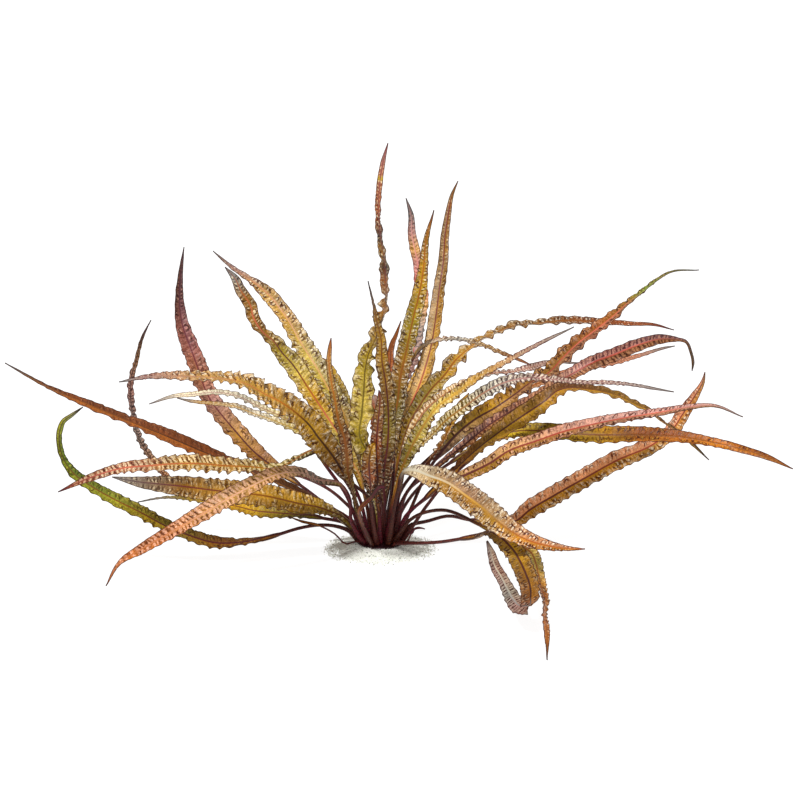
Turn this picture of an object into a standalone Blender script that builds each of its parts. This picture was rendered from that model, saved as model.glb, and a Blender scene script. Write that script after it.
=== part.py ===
"""Cryptocoryne crispatula balansae: a rosette of long strap leaves on dark petioles,
springing from one crown that stands in a low round patch of sand.

Metres, +Z up. The origin is the centre of the sand's underside, +X runs to the right
and -Y towards someone who looks at the plant from the front.
"""

import math

import bmesh
import bpy
import numpy as np
from mathutils import Vector

MM = 0.001
GAP = 0.3

# Sand patch and crown, in millimetres
SAND_RADIUS = 56.0
SAND_EDGE_HEIGHT = 1.2
SAND_FLAT_RADIUS = 25.5
SAND_TOP = 4.6
SAND_SIDES = 40
CROWN_RADIUS = 22.6
CROWN_TOP = 7.0
CROWN_SIDES = 28

# Petiole bases stand on the crown this far apart, within this radius, in millimetres
BASE_RADIUS = 20.2
BASE_PITCH = 4.7
SETTLING_ROUNDS = 400
PETIOLE_WIDTH = 3.4
PETIOLE_BASE_WIDTH = 3.0
START_LENGTH = 6.0
START_LEAN = 1.1

# Blade section, in millimetres
EDGE_THICKNESS = 0.6
MIDRIB_THICKNESS = 1.8
CHANNEL_SHARE = 0.10
TIP_WIDTH = 1.2
BLADE_RISE = 0.22
BLADE_TAPER = 0.45
MOST_ROLL = math.radians(80)

# Stations along a leaf: one for each of these lengths, within the limits
STATION_LENGTH = 25.5
BEND_LENGTH = 60.0
FEWEST_STATIONS = 10
MOST_STATIONS = 18
ROUTE_STEPS = 240

# How the plant is sighted from the front: the viewer looks down by SIGHT_ANGLE from
# SIGHT_DISTANCE away, at a spot to the right of the crown and above it
SIGHT_ANGLE = math.radians(13.5)
SIGHT_DISTANCE = 2500.0
AIM_RIGHT = 20.0
AIM_UP = 148.0
SIGHT_BASE = 1.0

COLOURS = {
    "rust": "#A8581C",
    "peach": "#DCA07C",
    "salmon": "#D9875A",
    "olive": "#A88A24",
    "gold": "#C09428",
    "brown": "#8A5A20",
    "rose": "#C87C78",
    "mauve": "#8A5A60",
    "maroon": "#5A1C28",
    "sand": "#D8D8CC",
}

# Each leaf: its colour, its blade's full width, and its route from the crown to the tip.
# A route point is how far right of the crown and above it the point is seen from the
# front, and how far behind the crown it lies. A fourth number is the width that the
# blade shows there, so a blade that shows less than its own width is rolled edge-on.
LEAVES = {
    # Far left, a long rust strap that rises to a thin tip
    "leaf_01": ("rust", 20, [
        (-30, 28, 2), (-55, 43, 4), (-83, 57, 0, 7), (-118, 72, -12, 6),
        (-145, 83, -20, 7), (-175, 95, -28, 12), (-210, 110, -35, 13), (-250, 126, -42, 8),
        (-287, 141, -48, 8), (-333, 161, -54, 3), (-375, 185, -60, 1)]),
    # Left, an arching salmon strap over the rust one
    "leaf_02": ("salmon", 21, [
        (-20, 48, -12), (-40, 83, -26), (-58, 98, -36), (-81, 90, -44, 5),
        (-102, 80, -50, 6), (-130, 81, -60, 11), (-155, 82, -72, 14),
        (-180, 84, -84, 15), (-205, 84, -95, 14), (-230, 82, -105, 12),
        (-255, 80, -114, 10), (-288, 71, -126, 8), (-322, 56, -136, 1)]),
    # Front left, a peach strap that comes down towards the viewer
    "leaf_03": ("peach", 22, [
        (-29, 28, -25), (-30, 48, -32), (-38, 62, -40), (-60, 67, -52, 6),
        (-81, 75, -66, 8), (-100, 74, -78, 12), (-126, 63, -94, 15),
        (-152, 49, -106, 17), (-177, 34, -122, 16), (-208, 16, -140, 13),
        (-238, -1, -156, 10), (-261, -16, -168, 4), (-274, -38, -178, 1)]),
    # Left, a wide olive strap seen full on
    "leaf_04": ("olive", 24, [
        (-27, 19, -11), (-42, 32, -12, 5), (-60, 40, -14, 14), (-80, 44, -20, 20),
        (-115, 52, -30, 22), (-160, 57, -42, 24), (-200, 62, -52, 20),
        (-220, 64, -57, 16), (-240, 66, -62, 11), (-268, 71, -68, 1)]),
    # Left and a little behind, narrow and yellow
    "leaf_05": ("gold", 16, [
        (-26, 19, 11), (-58, 30, 18), (-81, 33, 22, 7), (-105, 35, 28, 12),
        (-125, 37, 34, 12), (-142, 41, 40, 10), (-160, 44, 46, 7),
        (-180, 47, 52, 4), (-215, 50, 63, 2), (-242, 46, 70, 1)]),
    # Far left, low, with a hooked green end
    "leaf_06": ("olive", 16, [
        (-29, 16, -6), (-45, 22, -10), (-60, 23, -14), (-80, 20, -19),
        (-100, 14, -24), (-117, 9, -28, 4), (-143, 5, -33, 7), (-165, 5, -37, 12),
        (-190, 12, -42, 11), (-215, 22, -46, 11), (-239, 35, -50, 12),
        (-265, 48, -53, 12), (-288, 61, -56, 10), (-307, 75, -58, 9),
        (-317, 89, -58, 5), (-321, 104, -57, 5), (-320, 118, -55, 6),
        (-317, 126, -53, 5), (-308, 133, -50, 4), (-297, 141, -46, 1)]),
    # Back left, thin, low and then upright
    "leaf_07": ("mauve", 13, [
        (-40, 28, 25), (-90, 46, 60), (-140, 54, 95), (-185, 58, 130),
        (-208, 66, 150, 5), (-228, 88, 168, 6), (-242, 111, 182, 5),
        (-247, 130, 190, 4), (-250, 153, 198, 6), (-250, 165, 202, 5),
        (-244, 188, 210, 4), (-238, 210, 218, 3), (-229, 228, 225, 1)]),
    # Back left, a big maroon-rose blade that curves upright
    "leaf_08": ("mauve", 22, [
        (-60, 48, 50), (-80, 63, 68), (-108, 82, 90, 12), (-125, 95, 104, 17),
        (-145, 117, 122, 19), (-157, 131, 132, 18), (-171, 150, 145, 17),
        (-184, 185, 164, 19), (-192, 207, 176, 18), (-197, 221, 182, 15),
        (-201, 247, 192, 9), (-200, 272, 200, 5), (-196, 301, 208, 1)]),
    # Front left, wide, gold with cream ruffles
    "leaf_09": ("gold", 27, [
        (-6, 33, -12), (-11, 50, -18), (-27, 64, -28), (-34, 71, -34, 8),
        (-45, 89, -46, 20), (-62, 111, -62, 27), (-71, 123, -70, 26),
        (-83, 134, -78, 24), (-100, 146, -90, 20), (-116, 154, -98, 18),
        (-130, 162, -106, 16), (-145, 167, -114, 11), (-158, 169, -120, 9),
        (-194, 171, -136, 9), (-229, 171, -150, 5), (-261, 166, -162, 1)]),
    # Left, a pale pink strap seen edge-on
    "leaf_10": ("rose", 14, [
        (-30, 60, 2), (-55, 92, 4), (-80, 120, 5, 6), (-94, 129, 6, 6),
        (-119, 140, 8, 6), (-144, 152, 8, 5), (-160, 155, 8, 5),
        (-190, 153, 8, 5), (-204, 152, 8, 4), (-231, 144, 8, 1)]),
    # Left, a pale olive strap just below it, also edge-on
    "leaf_11": ("peach", 13, [
        (-35, 55, -8), (-58, 88, -16), (-70, 108, -20, 8), (-103, 126, -26, 6),
        (-129, 135, -30, 6), (-144, 141, -33, 5), (-157, 143, -35, 4),
        (-190, 147, -38, 3), (-203, 150, -38, 1)]),
    # Upper left, olive with a grey-mauve tip
    "leaf_12": ("olive", 21, [
        (-17, 58, 12), (-22, 72, 17, 6), (-28, 86, 22, 10), (-37, 106, 30, 13),
        (-55, 134, 42, 17),
        (-72, 160, 52, 20), (-88, 184, 62, 20), (-98, 195, 68, 17),
        (-107, 207, 74, 13), (-116, 214, 78, 9), (-127, 232, 86, 13),
        (-129, 241, 90, 13), (-140, 259, 98, 11), (-144, 268, 102, 9),
        (-155, 281, 108, 1)]),
    # Upper left, behind that one, peach towards the top
    "leaf_13": ("peach", 22, [
        (-12, 58, 26), (-18, 74, 35, 5), (-24, 88, 44, 10), (-30, 108, 60, 12),
        (-36, 133, 80, 14), (-52, 160, 100, 20), (-68, 188, 120, 22),
        (-76, 200, 128, 20), (-94, 231, 150, 16), (-111, 253, 166, 16),
        (-120, 261, 172, 12), (-130, 268, 178, 7), (-150, 282, 190, 4),
        (-167, 297, 200, 1)]),
    # Front, small and salmon, left of the middle
    "leaf_14": ("salmon", 12, [
        (-22, 33, -26), (-28, 58, -44, 4), (-32, 73, -56, 9), (-33, 87, -66, 11),
        (-37, 114, -81, 11), (-41, 125, -87, 10), (-45, 146, -98, 8),
        (-49, 167, -109, 6), (-51, 190, -120, 5), (-50, 201, -125, 4),
        (-49, 210, -130, 1)]),
    # Middle, the tallest: broad and gold below, brown and twisted above
    "leaf_15": ("gold", 24, [
        (-4, 53, 4, 4), (-10, 80, 9, 14), (-11, 92, 13, 15), (-20, 112, 17, 17),
        (-18, 134, 21, 23), (-16, 157, 25, 22), (-14, 181, 28, 16),
        (-11, 194, 30, 14), (-5, 207, 32, 10), (2, 228, 35, 10), (7, 251, 38, 4),
        (6, 270, 40, 10), (5, 289, 42, 6), (2, 305, 44, 6), (-1, 333, 46, 5),
        (0, 363, 48, 6), (3, 386, 50, 5), (8, 405, 52, 1)]),
    # Middle front, olive-gold with a thread tip
    "leaf_16": ("gold", 15, [
        (4, 40, -14), (3, 64, -21, 9), (4, 80, -27, 14), (7, 100, -34, 14),
        (8, 138, -50, 14),
        (5, 168, -61, 13), (2, 187, -68, 13), (1, 208, -76, 9), (-4, 229, -83, 6),
        (-7, 244, -88, 2), (-12, 267, -96, 1)]),
    # Middle, small, red-brown
    "leaf_17": ("brown", 11, [
        (8, 60, 26), (10, 110, 52, 9), (11, 150, 72, 9), (10, 183, 90, 8),
        (12, 203, 100, 6), (16, 213, 105, 4), (21, 227, 112, 1)]),
    # Middle right, olive-brown with cream ridges
    "leaf_18": ("olive", 20, [
        (5, 45, 2), (8, 68, 2, 8), (10, 98, 2, 14), (13, 124, 2, 18),
        (18, 148, 2, 18), (20, 167, 2, 18), (27, 199, 2, 17), (33, 228, 2, 16),
        (40, 258, 2, 14), (44, 283, 2, 9), (46, 306, 2, 6), (54, 338, 2, 1)]),
    # Behind it, pink with a grey-mauve tip
    "leaf_19": ("rose", 17, [
        (4, 60, 42), (13, 120, 90, 11), (22, 168, 118, 15), (31, 188, 130, 16),
        (38, 228, 154, 16), (41, 248, 166, 16), (40, 268, 177, 13),
        (38, 283, 185, 9), (35, 298, 192, 11), (32, 313, 200, 9),
        (31, 333, 211, 6), (26, 350, 220, 1)]),
    # Tall and orange-tan, right of the middle
    "leaf_20": ("salmon", 17, [
        (14, 60, 36), (18, 92, 60, 6), (24, 118, 80, 10), (31, 143, 98, 12),
        (39, 161, 112, 14),
        (46, 182, 126, 15), (52, 205, 140, 14), (56, 230, 155, 14),
        (60, 262, 174, 12), (63, 283, 186, 11), (65, 313, 202, 9),
        (68, 333, 213, 7), (72, 353, 223, 4), (78, 367, 230, 1)]),
    # Thin and pale, rising and then arching over to the right
    "leaf_21": ("peach", 10, [
        (12, 50, 12), (14, 108, 16), (19, 150, 19), (28, 180, 20), (35, 193, 19),
        (41, 200, 14, 4),
        (50, 205, 8, 4), (61, 208, 0, 4), (81, 208, -14, 4), (101, 203, -29, 4),
        (121, 195, -45, 4), (142, 187, -60, 3), (151, 183, -66, 1)]),
    # Back right, an orange-brown arch
    "leaf_22": ("salmon", 19, [
        (16, 68, 32), (22, 98, 45, 9), (29, 123, 56, 13), (39, 141, 64, 16),
        (50, 157, 75, 18),
        (65, 173, 88, 15), (77, 189, 101, 14), (84, 195, 108, 9),
        (98, 206, 120, 5), (121, 217, 140, 6), (139, 223, 156, 7),
        (155, 224, 168, 5), (183, 227, 188, 9), (220, 226, 210, 7),
        (250, 224, 226, 5), (275, 223, 238, 3), (294, 218, 246, 1)]),
    # Right, pale yellow, seen edge-on
    "leaf_23": ("gold", 13, [
        (14, 48, -18), (21, 76, -26, 7), (29, 96, -33, 14), (38, 113, -39, 16),
        (46, 126, -44, 13), (57, 140, -50, 9),
        (76, 154, -62, 10), (85, 161, -67, 9), (105, 174, -79, 6),
        (132, 189, -94, 5), (150, 199, -103, 4), (173, 211, -114, 3),
        (194, 221, -123, 1)]),
    # Right and behind, dusty pink
    "leaf_24": ("rose", 13, [
        (20, 60, 17), (26, 98, 31, 8), (34, 120, 39, 10), (45, 137, 46, 10),
        (60, 150, 53, 9),
        (86, 165, 69, 7), (111, 174, 86, 4), (133, 176, 101, 4), (152, 181, 115, 8),
        (171, 186, 129, 4), (193, 185, 145, 2), (205, 185, 152, 1)]),
    # Straight up to the right, rose-orange and strongly ruffled
    "leaf_25": ("salmon", 21, [
        (55, 88, 20), (65, 101, 25, 12), (80, 117, 31, 16), (97, 130, 39, 20),
        (115, 140, 48, 20), (133, 152, 56, 16), (152, 166, 68, 11),
        (170, 176, 78, 13), (183, 190, 87, 14), (200, 206, 98, 13),
        (216, 218, 108, 12), (235, 233, 119, 9), (247, 244, 126, 5),
        (260, 254, 133, 4), (276, 267, 142, 3), (289, 275, 148, 2),
        (319, 278, 158, 1)]),
    # Right, pale pink-cream, arching level
    "leaf_26": ("peach", 14, [
        (11, 40, -11), (21, 68, -15, 4), (27, 88, -18, 5), (39, 101, -23, 6),
        (52, 113, -27, 6), (68, 129, -32, 11), (86, 142, -37, 12),
        (104, 155, -42, 12), (124, 165, -47, 12), (150, 170, -53, 7),
        (175, 168, -58, 6), (201, 165, -62, 4), (228, 165, -66, 4),
        (252, 163, -70, 3), (271, 160, -72, 3), (294, 156, -75, 1)]),
    # Right, dusty mauve with a hooked grey end
    "leaf_27": ("mauve", 16, [
        (30, 60, 8), (45, 72, 7), (73, 94, 6, 6), (92, 109, 8, 10),
        (111, 124, 10, 10), (137, 140, 12, 9), (160, 154, 15, 7),
        (183, 169, 17, 8), (191, 173, 18, 12), (214, 186, 20, 14),
        (233, 193, 22, 14), (258, 203, 24, 13), (281, 209, 26, 10),
        (299, 208, 27, 4), (306, 206, 27, 3), (310, 198, 26, 3),
        (313, 185, 24, 3), (312, 177, 23, 1)]),
    # Far right and behind, small and peach at its end
    "leaf_28": ("peach", 12, [
        (18, 50, 20), (60, 100, 60), (110, 140, 100), (160, 165, 140, 8),
        (200, 178, 168, 8), (240, 187, 192, 6), (262, 193, 204, 4),
        (284, 200, 215, 3), (295, 202, 220, 1)]),
    # Right, gold-olive, broad and then drooping to a thread
    "leaf_29": ("olive", 20, [
        (25, 30, -10), (45, 50, -13), (70, 73, -16, 4), (98, 99, -19, 10),
        (124, 119, -20, 16), (150, 137, -20, 20), (165, 147, -19, 18),
        (178, 157, -17, 13), (185, 159, -15, 9), (211, 158, -11, 8),
        (237, 152, -8, 7), (258, 142, -6, 6), (269, 137, -5, 4),
        (280, 128, -4, 2), (296, 118, -2, 2), (310, 106, -1, 4), (329, 88, 0, 1)]),
    # Front right, pink at its end and olive below
    "leaf_30": ("rose", 16, [
        (32, 21, -16), (48, 44, -28), (68, 66, -41), (85, 73, -50, 12),
        (110, 85, -62, 14), (129, 97, -71, 14), (157, 107, -84, 13),
        (183, 116, -96, 13), (207, 122, -106, 11), (246, 130, -122, 9),
        (284, 136, -136, 7), (312, 141, -146, 5), (334, 142, -152, 3),
        (363, 131, -160, 1)]),
    # Front, the big strap that comes over and down to the right
    "leaf_31": ("peach", 25, [
        (13, 33, -24), (18, 58, -36), (23, 75, -48), (35, 77, -62, 12),
        (50, 72, -76, 20), (68, 65, -90, 24), (85, 53, -106, 24),
        (105, 38, -130, 25), (118, 26, -146, 24), (132, 16, -162, 20),
        (147, 8, -176, 15), (163, 3, -190, 11), (188, -1, -208, 4),
        (205, -1, -218, 1)]),
    # Front right, folded back on itself at its lowest point
    "leaf_32": ("gold", 19, [
        (27, 5, -28), (43, 5, -42), (60, 6, -56), (80, 9, -76), (98, 12, -94, 8),
        (111, 16, -108, 12), (120, 11, -122, 14), (134, -3, -150, 16),
        (140, -13, -174, 18), (146, -26, -202, 18), (150, -37, -226, 16),
        (151, -49, -248, 12), (149, -58, -264, 9), (141, -58, -256, 9),
        (134, -52, -236, 12), (128, -42, -210, 11), (122, -30, -182, 11),
        (115, -18, -156, 10), (111, -5, -132, 8), (107, 7, -108, 2)]),
    # Front right, hanging down to the surface
    "leaf_33": ("salmon", 14, [
        (30, 28, -22), (62, 38, -44), (100, 23, -76), (125, 11, -102, 8),
        (141, 2, -124, 10), (151, -5, -140, 12), (155, -14, -156, 12),
        (158, -27, -180, 11), (161, -41, -207, 9), (164, -53, -232, 6),
        (164, -67, -262, 4), (166, -80, -286, 6), (167, -91, -306, 5),
        (167, -103, -325, 2), (167, -112, -338, 1)]),
    # Right, a long salmon strap that curves up at its end
    "leaf_34": ("salmon", 20, [
        (28, 21, -3), (48, 27, -1), (68, 32, 2), (90, 28, 8), (115, 26, 14, 6),
        (136, 27, 18, 13), (150, 38, 20, 18), (170, 50, 22, 19),
        (207, 71, 26, 19), (240, 89, 28, 19), (270, 102, 30, 17),
        (292, 118, 32, 15), (302, 133, 32, 14), (314, 151, 30, 9),
        (323, 167, 28, 4), (325, 176, 27, 1)]),
    # Far right, the longest, olive and then orange-brown
    "leaf_35": ("rust", 18, [
        (24, 29, -4), (57, 58, 2), (85, 84, 6), (115, 111, 4, 6), (133, 116, 0, 12),
        (163, 117, -8, 14), (195, 114, -18, 16), (220, 113, -26, 17),
        (258, 113, -38, 15), (297, 111, -52, 12), (329, 106, -64, 9),
        (361, 99, -78, 8), (387, 91, -90, 6), (413, 79, -102, 1)]),
    # Right, small and gold
    "leaf_36": ("gold", 9, [
        (21, 45, -6), (45, 80, -8), (64, 108, -8, 5), (75, 133, -6, 8),
        (80, 143, -5, 7), (89, 155, -4, 1)]),
    # Middle front, short and broad, its tip curled back
    "leaf_46": ("brown", 15, [
        (-9, 44, -46), (-9, 60, -56, 7), (-10, 72, -63, 13), (-11, 84, -69, 15),
        (-10, 94, -71, 13), (-8, 101, -69, 8), (-5, 105, -64, 2)]),
    # Middle front, narrow and red-brown
    "leaf_37": ("brown", 14, [
        (-1, 36, -20), (-3, 56, -34, 4), (-2, 68, -42, 12), (-3, 82, -50, 14),
        (-3, 112, -66, 11), (-1, 135, -78, 10), (0, 147, -84, 7), (-1, 158, -90, 1)]),
    # Front, a short olive-brown strap over the petioles
    "leaf_38": ("brown", 7, [
        (-13, 14, -33), (-19, 29, -46, 4), (-20, 37, -54, 4), (-9, 50, -64, 5),
        (1, 61, -71, 5), (6, 60, -75, 1)]),
    # A new leaf, still small and curled, right of the crown
    "leaf_39": ("maroon", 3, [
        (27, 6, -22), (31, 14, -26), (35, 19, -27, 2), (41, 20, -28, 2),
        (45, 19, -28, 1)]),
    # An old thin leaf, left of the crown
    "leaf_40": ("brown", 3, [
        (-34, 4, -16), (-45, 14, -20), (-60, 22, -24), (-80, 27, -28, 2),
        (-92, 32, -30, 1)]),
    # Five that lean away from the viewer
    "leaf_41": ("olive", 20, [
        (-10, 60, 50), (-25, 110, 110, 10), (-40, 150, 170, 18),
        (-52, 175, 225, 18), (-60, 185, 280, 12), (-64, 182, 325, 1)]),
    "leaf_42": ("gold", 20, [
        (12, 60, 54), (22, 110, 118, 10), (33, 150, 176, 18), (43, 175, 232, 18),
        (50, 190, 290, 12), (54, 188, 340, 1)]),
    "leaf_43": ("rust", 20, [
        (0, 50, 60), (0, 85, 130, 10), (-2, 115, 200, 16), (-4, 138, 270, 14),
        (-6, 150, 330, 8), (-8, 150, 370, 1)]),
    "leaf_44": ("olive", 16, [
        (-40, 50, 60), (-80, 72, 120), (-120, 80, 175, 10), (-155, 83, 220, 12),
        (-190, 86, 262, 10), (-215, 87, 288, 5), (-235, 88, 308, 1)]),
    "leaf_45": ("salmon", 16, [
        (30, 50, 60), (70, 85, 120), (120, 110, 180, 8), (160, 116, 225, 12),
        (200, 114, 270, 11), (235, 113, 305, 7), (262, 113, 330, 1)]),
}

# The folded leaf turns about one line, so its blade keeps to it: right, back, up
FOLDED_LEAF = "leaf_32"
FOLD_LINE = Vector((-0.87, 0.0, -0.49))

TO_VIEWER = Vector((0.0, -math.cos(SIGHT_ANGLE), math.sin(SIGHT_ANGLE)))
UP = Vector((0.0, 0.0, 1.0))


def place(right, up, back):
    """The point that is seen this far right of the crown and above it, this far back."""
    rise = math.sin(SIGHT_ANGLE)
    level = math.cos(SIGHT_ANGLE)
    above = up - AIM_UP
    nearer = (up * rise - back) / (level + above * rise / SIGHT_DISTANCE)
    scale = 1 - nearer / SIGHT_DISTANCE
    x = AIM_RIGHT + scale * (right - AIM_RIGHT)
    z = SIGHT_BASE + (AIM_UP + scale * above) * level + nearer * rise
    return Vector((x, back, z))


def base_places():
    """Where each petiole stands on the crown: steep leaves near its middle and spreading
    ones near its rim, each on its own side, then pushed apart until none touch."""
    first = {name: place(*route[0][:3]) for name, (_, _, route) in LEAVES.items()}
    steep = sorted(first, key=lambda n: math.hypot(*first[n].xy) / (first[n].z - CROWN_TOP))
    spots = []
    for rank, name in enumerate(steep):
        radius = BASE_RADIUS * math.sqrt((rank + 0.5) / len(steep))
        heading = math.atan2(first[name].y, first[name].x)
        spots.append((radius * math.cos(heading), radius * math.sin(heading)))
    spots = np.array(spots)
    alone = np.eye(len(spots)) * BASE_RADIUS
    for _ in range(SETTLING_ROUNDS):
        apart = spots[:, None] - spots[None]
        distance = np.linalg.norm(apart, axis=2) + alone
        push = np.clip(BASE_PITCH - distance, 0, None) / 2 / distance
        spots = spots + (apart * push[..., None]).sum(axis=1)
        reach = np.linalg.norm(spots, axis=1)
        spots = spots * np.minimum(1, BASE_RADIUS / reach)[:, None]
    return {name: Vector((*spot, CROWN_TOP + GAP)) for name, spot in zip(steep, spots)}


def smooth(values, at, where):
    """Values read along a smooth curve through the given ones (cubic, end to end)."""
    slopes = np.gradient(values, at, axis=0)
    index = np.clip(np.searchsorted(at, where, side="right") - 1, 0, len(at) - 2)
    span = (at[index + 1] - at[index])[:, None]
    t = (where[:, None] - at[index][:, None]) / span
    start = (1 + 2 * t) * (1 - t) ** 2 * values[index]
    leave = t * (1 - t) ** 2 * span * slopes[index]
    end = t**2 * (3 - 2 * t) * values[index + 1]
    arrive = t**2 * (t - 1) * span * slopes[index + 1]
    return start + leave + end + arrive


def lengths_along(points):
    return np.concatenate([[0], np.cumsum(np.linalg.norm(np.diff(points, axis=0), axis=1))])


def leaf_line(base, route):
    """The leaf's middle line in equal steps, the width seen at each, and where the blade
    starts, as a length from the base."""
    lean = Vector((base.x, base.y, 0)) * (START_LEAN / BASE_RADIUS)
    knots = [base, base + (UP + lean).normalized() * START_LENGTH]
    knots += [place(*point[:3]) for point in route]
    knots = np.array([list(knot) for knot in knots])
    seen = [PETIOLE_BASE_WIDTH, PETIOLE_WIDTH]
    seen += [point[3] if len(point) > 3 else PETIOLE_WIDTH for point in route]
    at = lengths_along(knots)
    blade = sum(len(point) < 4 for point in route) + 1
    fine = np.linspace(0, at[-1], ROUTE_STEPS)
    line = smooth(knots, at, fine)
    widths = np.interp(fine, at, seen)
    along = lengths_along(line)
    even = np.linspace(0, along[-1], ROUTE_STEPS)
    line = np.stack([np.interp(even, along, line[:, k]) for k in range(3)], axis=1)
    widths = np.interp(even, along, widths)
    start = np.interp(at[blade], fine, along)
    return line, widths, even, start


def blade_width(share, full):
    """The blade's own width, by the share of its length from its foot to its tip."""
    foot = min(1.0, share / BLADE_RISE) ** 0.8
    tip = min(1.0, (1 - share) / BLADE_TAPER) ** 0.8
    return max(TIP_WIDTH, PETIOLE_WIDTH + (full - PETIOLE_WIDTH) * foot) * tip


def section(centre, along, width, flatness, across):
    """Six points round the leaf: a hexagon on the petiole, a channelled blade above."""
    side = (across - along * across.dot(along)).normalized()
    face = side.cross(along)
    half = width / 2
    edge = EDGE_THICKNESS / 2 * flatness + (1 - flatness) * width * 0.25
    rib = min(MIDRIB_THICKNESS, width) / 2 * flatness + (1 - flatness) * width / 2
    lift = CHANNEL_SHARE * width * flatness
    corners = (
        (half, lift + edge), (0, rib), (-half, lift + edge),
        (-half, lift - edge), (0, -rib), (half, lift - edge),
    )
    return [centre + side * x + face * y for x, y in corners]


def station_steps(tangents, even):
    """The steps of a leaf's line that get a section, closer together where it bends."""
    headings = tangents / np.linalg.norm(tangents, axis=1)[:, None]
    turns = np.linalg.norm(np.diff(headings, axis=0), axis=1)
    effort = even + BEND_LENGTH * np.concatenate([[0], np.cumsum(turns)])
    count = round(effort[-1] / STATION_LENGTH) + 4
    count = min(MOST_STATIONS, max(FEWEST_STATIONS, count))
    steps = np.searchsorted(effort, np.linspace(0, effort[-1], count))
    return sorted({min(int(k), len(even) - 1) for k in steps})


def leaf_sections(name, base):
    """The leaf's sections from its foot to its tip."""
    _, full, route = LEAVES[name]
    line, seen, even, start = leaf_line(base, route)
    tangents = np.gradient(line, axis=0)
    sides = [Vector(t).cross(TO_VIEWER).normalized() for t in tangents]
    on_blade = [s for s, at in zip(sides, even) if at > start]
    lean = 1 if sum(s.z for s in on_blade) >= 0 else -1
    total = even[-1]
    sections = []
    for k in station_steps(tangents, even):
        along = Vector(tangents[k]).normalized()
        share = (even[k] - start) / (total - start)
        if share > 0:
            width = max(blade_width(share, full), seen[k], TIP_WIDTH)
            roll = min(MOST_ROLL, math.acos(min(1.0, seen[k] / width)))
            flatness = min(1.0, share / BLADE_RISE * 2)
        else:
            width = seen[k]
            roll = 0.0
            flatness = 0.0
        towards = sides[k].cross(along).normalized()
        across = sides[k] * math.cos(roll) - towards * lean * math.sin(roll)
        if name == FOLDED_LEAF:
            across = FOLD_LINE
        if k == 0:
            along = UP
        sections.append(section(Vector(line[k]), along, width, flatness, across))
    return sections


def add_object(name, mesh, collection, colour):
    """The mesh as a named object with a material of its own."""
    material = bpy.data.materials.new(name)
    material.use_nodes = True
    shader = material.node_tree.nodes["Principled BSDF"]
    shader.inputs["Base Color"].default_value = (*linear(COLOURS[colour]), 1)
    shader.inputs["Roughness"].default_value = 0.9 if colour == "sand" else 0.45
    shader.inputs["Metallic"].default_value = 0.0
    mesh.materials.append(material)
    obj = bpy.data.objects.new(name, mesh)
    collection.objects.link(obj)
    return obj


def linear(code):
    """Linear red, green and blue from an sRGB hex colour."""
    parts = [int(code[i : i + 2], 16) / 255 for i in (1, 3, 5)]
    return [p / 12.92 if p <= 0.04045 else ((p + 0.055) / 1.055) ** 2.4 for p in parts]


def loft(name, sections):
    """A closed mesh through sections of equal count, with a flat cap at each end."""
    shape = bmesh.new()
    rings = [[shape.verts.new(point * MM) for point in ring] for ring in sections]
    count = len(rings[0])
    for low, high in zip(rings, rings[1:]):
        for i in range(count):
            j = (i + 1) % count
            shape.faces.new((low[i], low[j], high[j], high[i]))
    shape.faces.new(list(reversed(rings[0])))
    shape.faces.new(rings[-1])
    bmesh.ops.triangulate(shape, faces=shape.faces)
    bmesh.ops.recalc_face_normals(shape, faces=shape.faces)
    mesh = bpy.data.meshes.new(name)
    shape.to_mesh(mesh)
    shape.free()
    return mesh


def turned(name, profile, sides):
    """A closed turned mesh from (radius, height) corners, from its underside up."""
    sections = []
    for radius, height in profile:
        angles = [math.tau * i / sides for i in range(sides)]
        ring = [Vector((radius * math.cos(a), radius * math.sin(a), height)) for a in angles]
        sections.append(ring)
    return loft(name, sections)


def build_sand(collection):
    shoulder = (SAND_RADIUS + SAND_FLAT_RADIUS) / 2
    height = SAND_EDGE_HEIGHT + (SAND_TOP - SAND_EDGE_HEIGHT) * 0.75
    profile = [
        (SAND_RADIUS, 0.0), (SAND_RADIUS, SAND_EDGE_HEIGHT),
        (shoulder, height), (SAND_FLAT_RADIUS, SAND_TOP),
    ]
    add_object("sand_bed", turned("sand_bed", profile, SAND_SIDES), collection, "sand")


def build_crown(collection):
    foot = SAND_TOP + GAP
    profile = [
        (CROWN_RADIUS + 1.5, foot), (CROWN_RADIUS + 1.0, (foot + CROWN_TOP) / 2),
        (CROWN_RADIUS, CROWN_TOP),
    ]
    add_object("rhizome", turned("rhizome", profile, CROWN_SIDES), collection, "maroon")


def main():
    for obj in list(bpy.data.objects):
        bpy.data.objects.remove(obj, do_unlink=True)
    collection = bpy.data.collections.new("cryptocoryne_crispatula_balansae")
    bpy.context.scene.collection.children.link(collection)
    build_sand(collection)
    build_crown(collection)
    for name, base in base_places().items():
        mesh = loft(name, leaf_sections(name, base))
        add_object(name, mesh, collection, LEAVES[name][0])


main()
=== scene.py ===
# %% [markdown]
# # A rosette of long crinkled water-plant leaves
# The plant stands on a small patch of pale sand. Forty-six strap leaves on dark
# maroon stalks spring from one crown, and each blade is puckered between its veins and
# ruffled along its edges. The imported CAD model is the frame: every leaf below follows the
# same route as its CAD solid, so the dressed plant and the solids stay together.

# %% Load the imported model
import collections
import functools
import math

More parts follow.
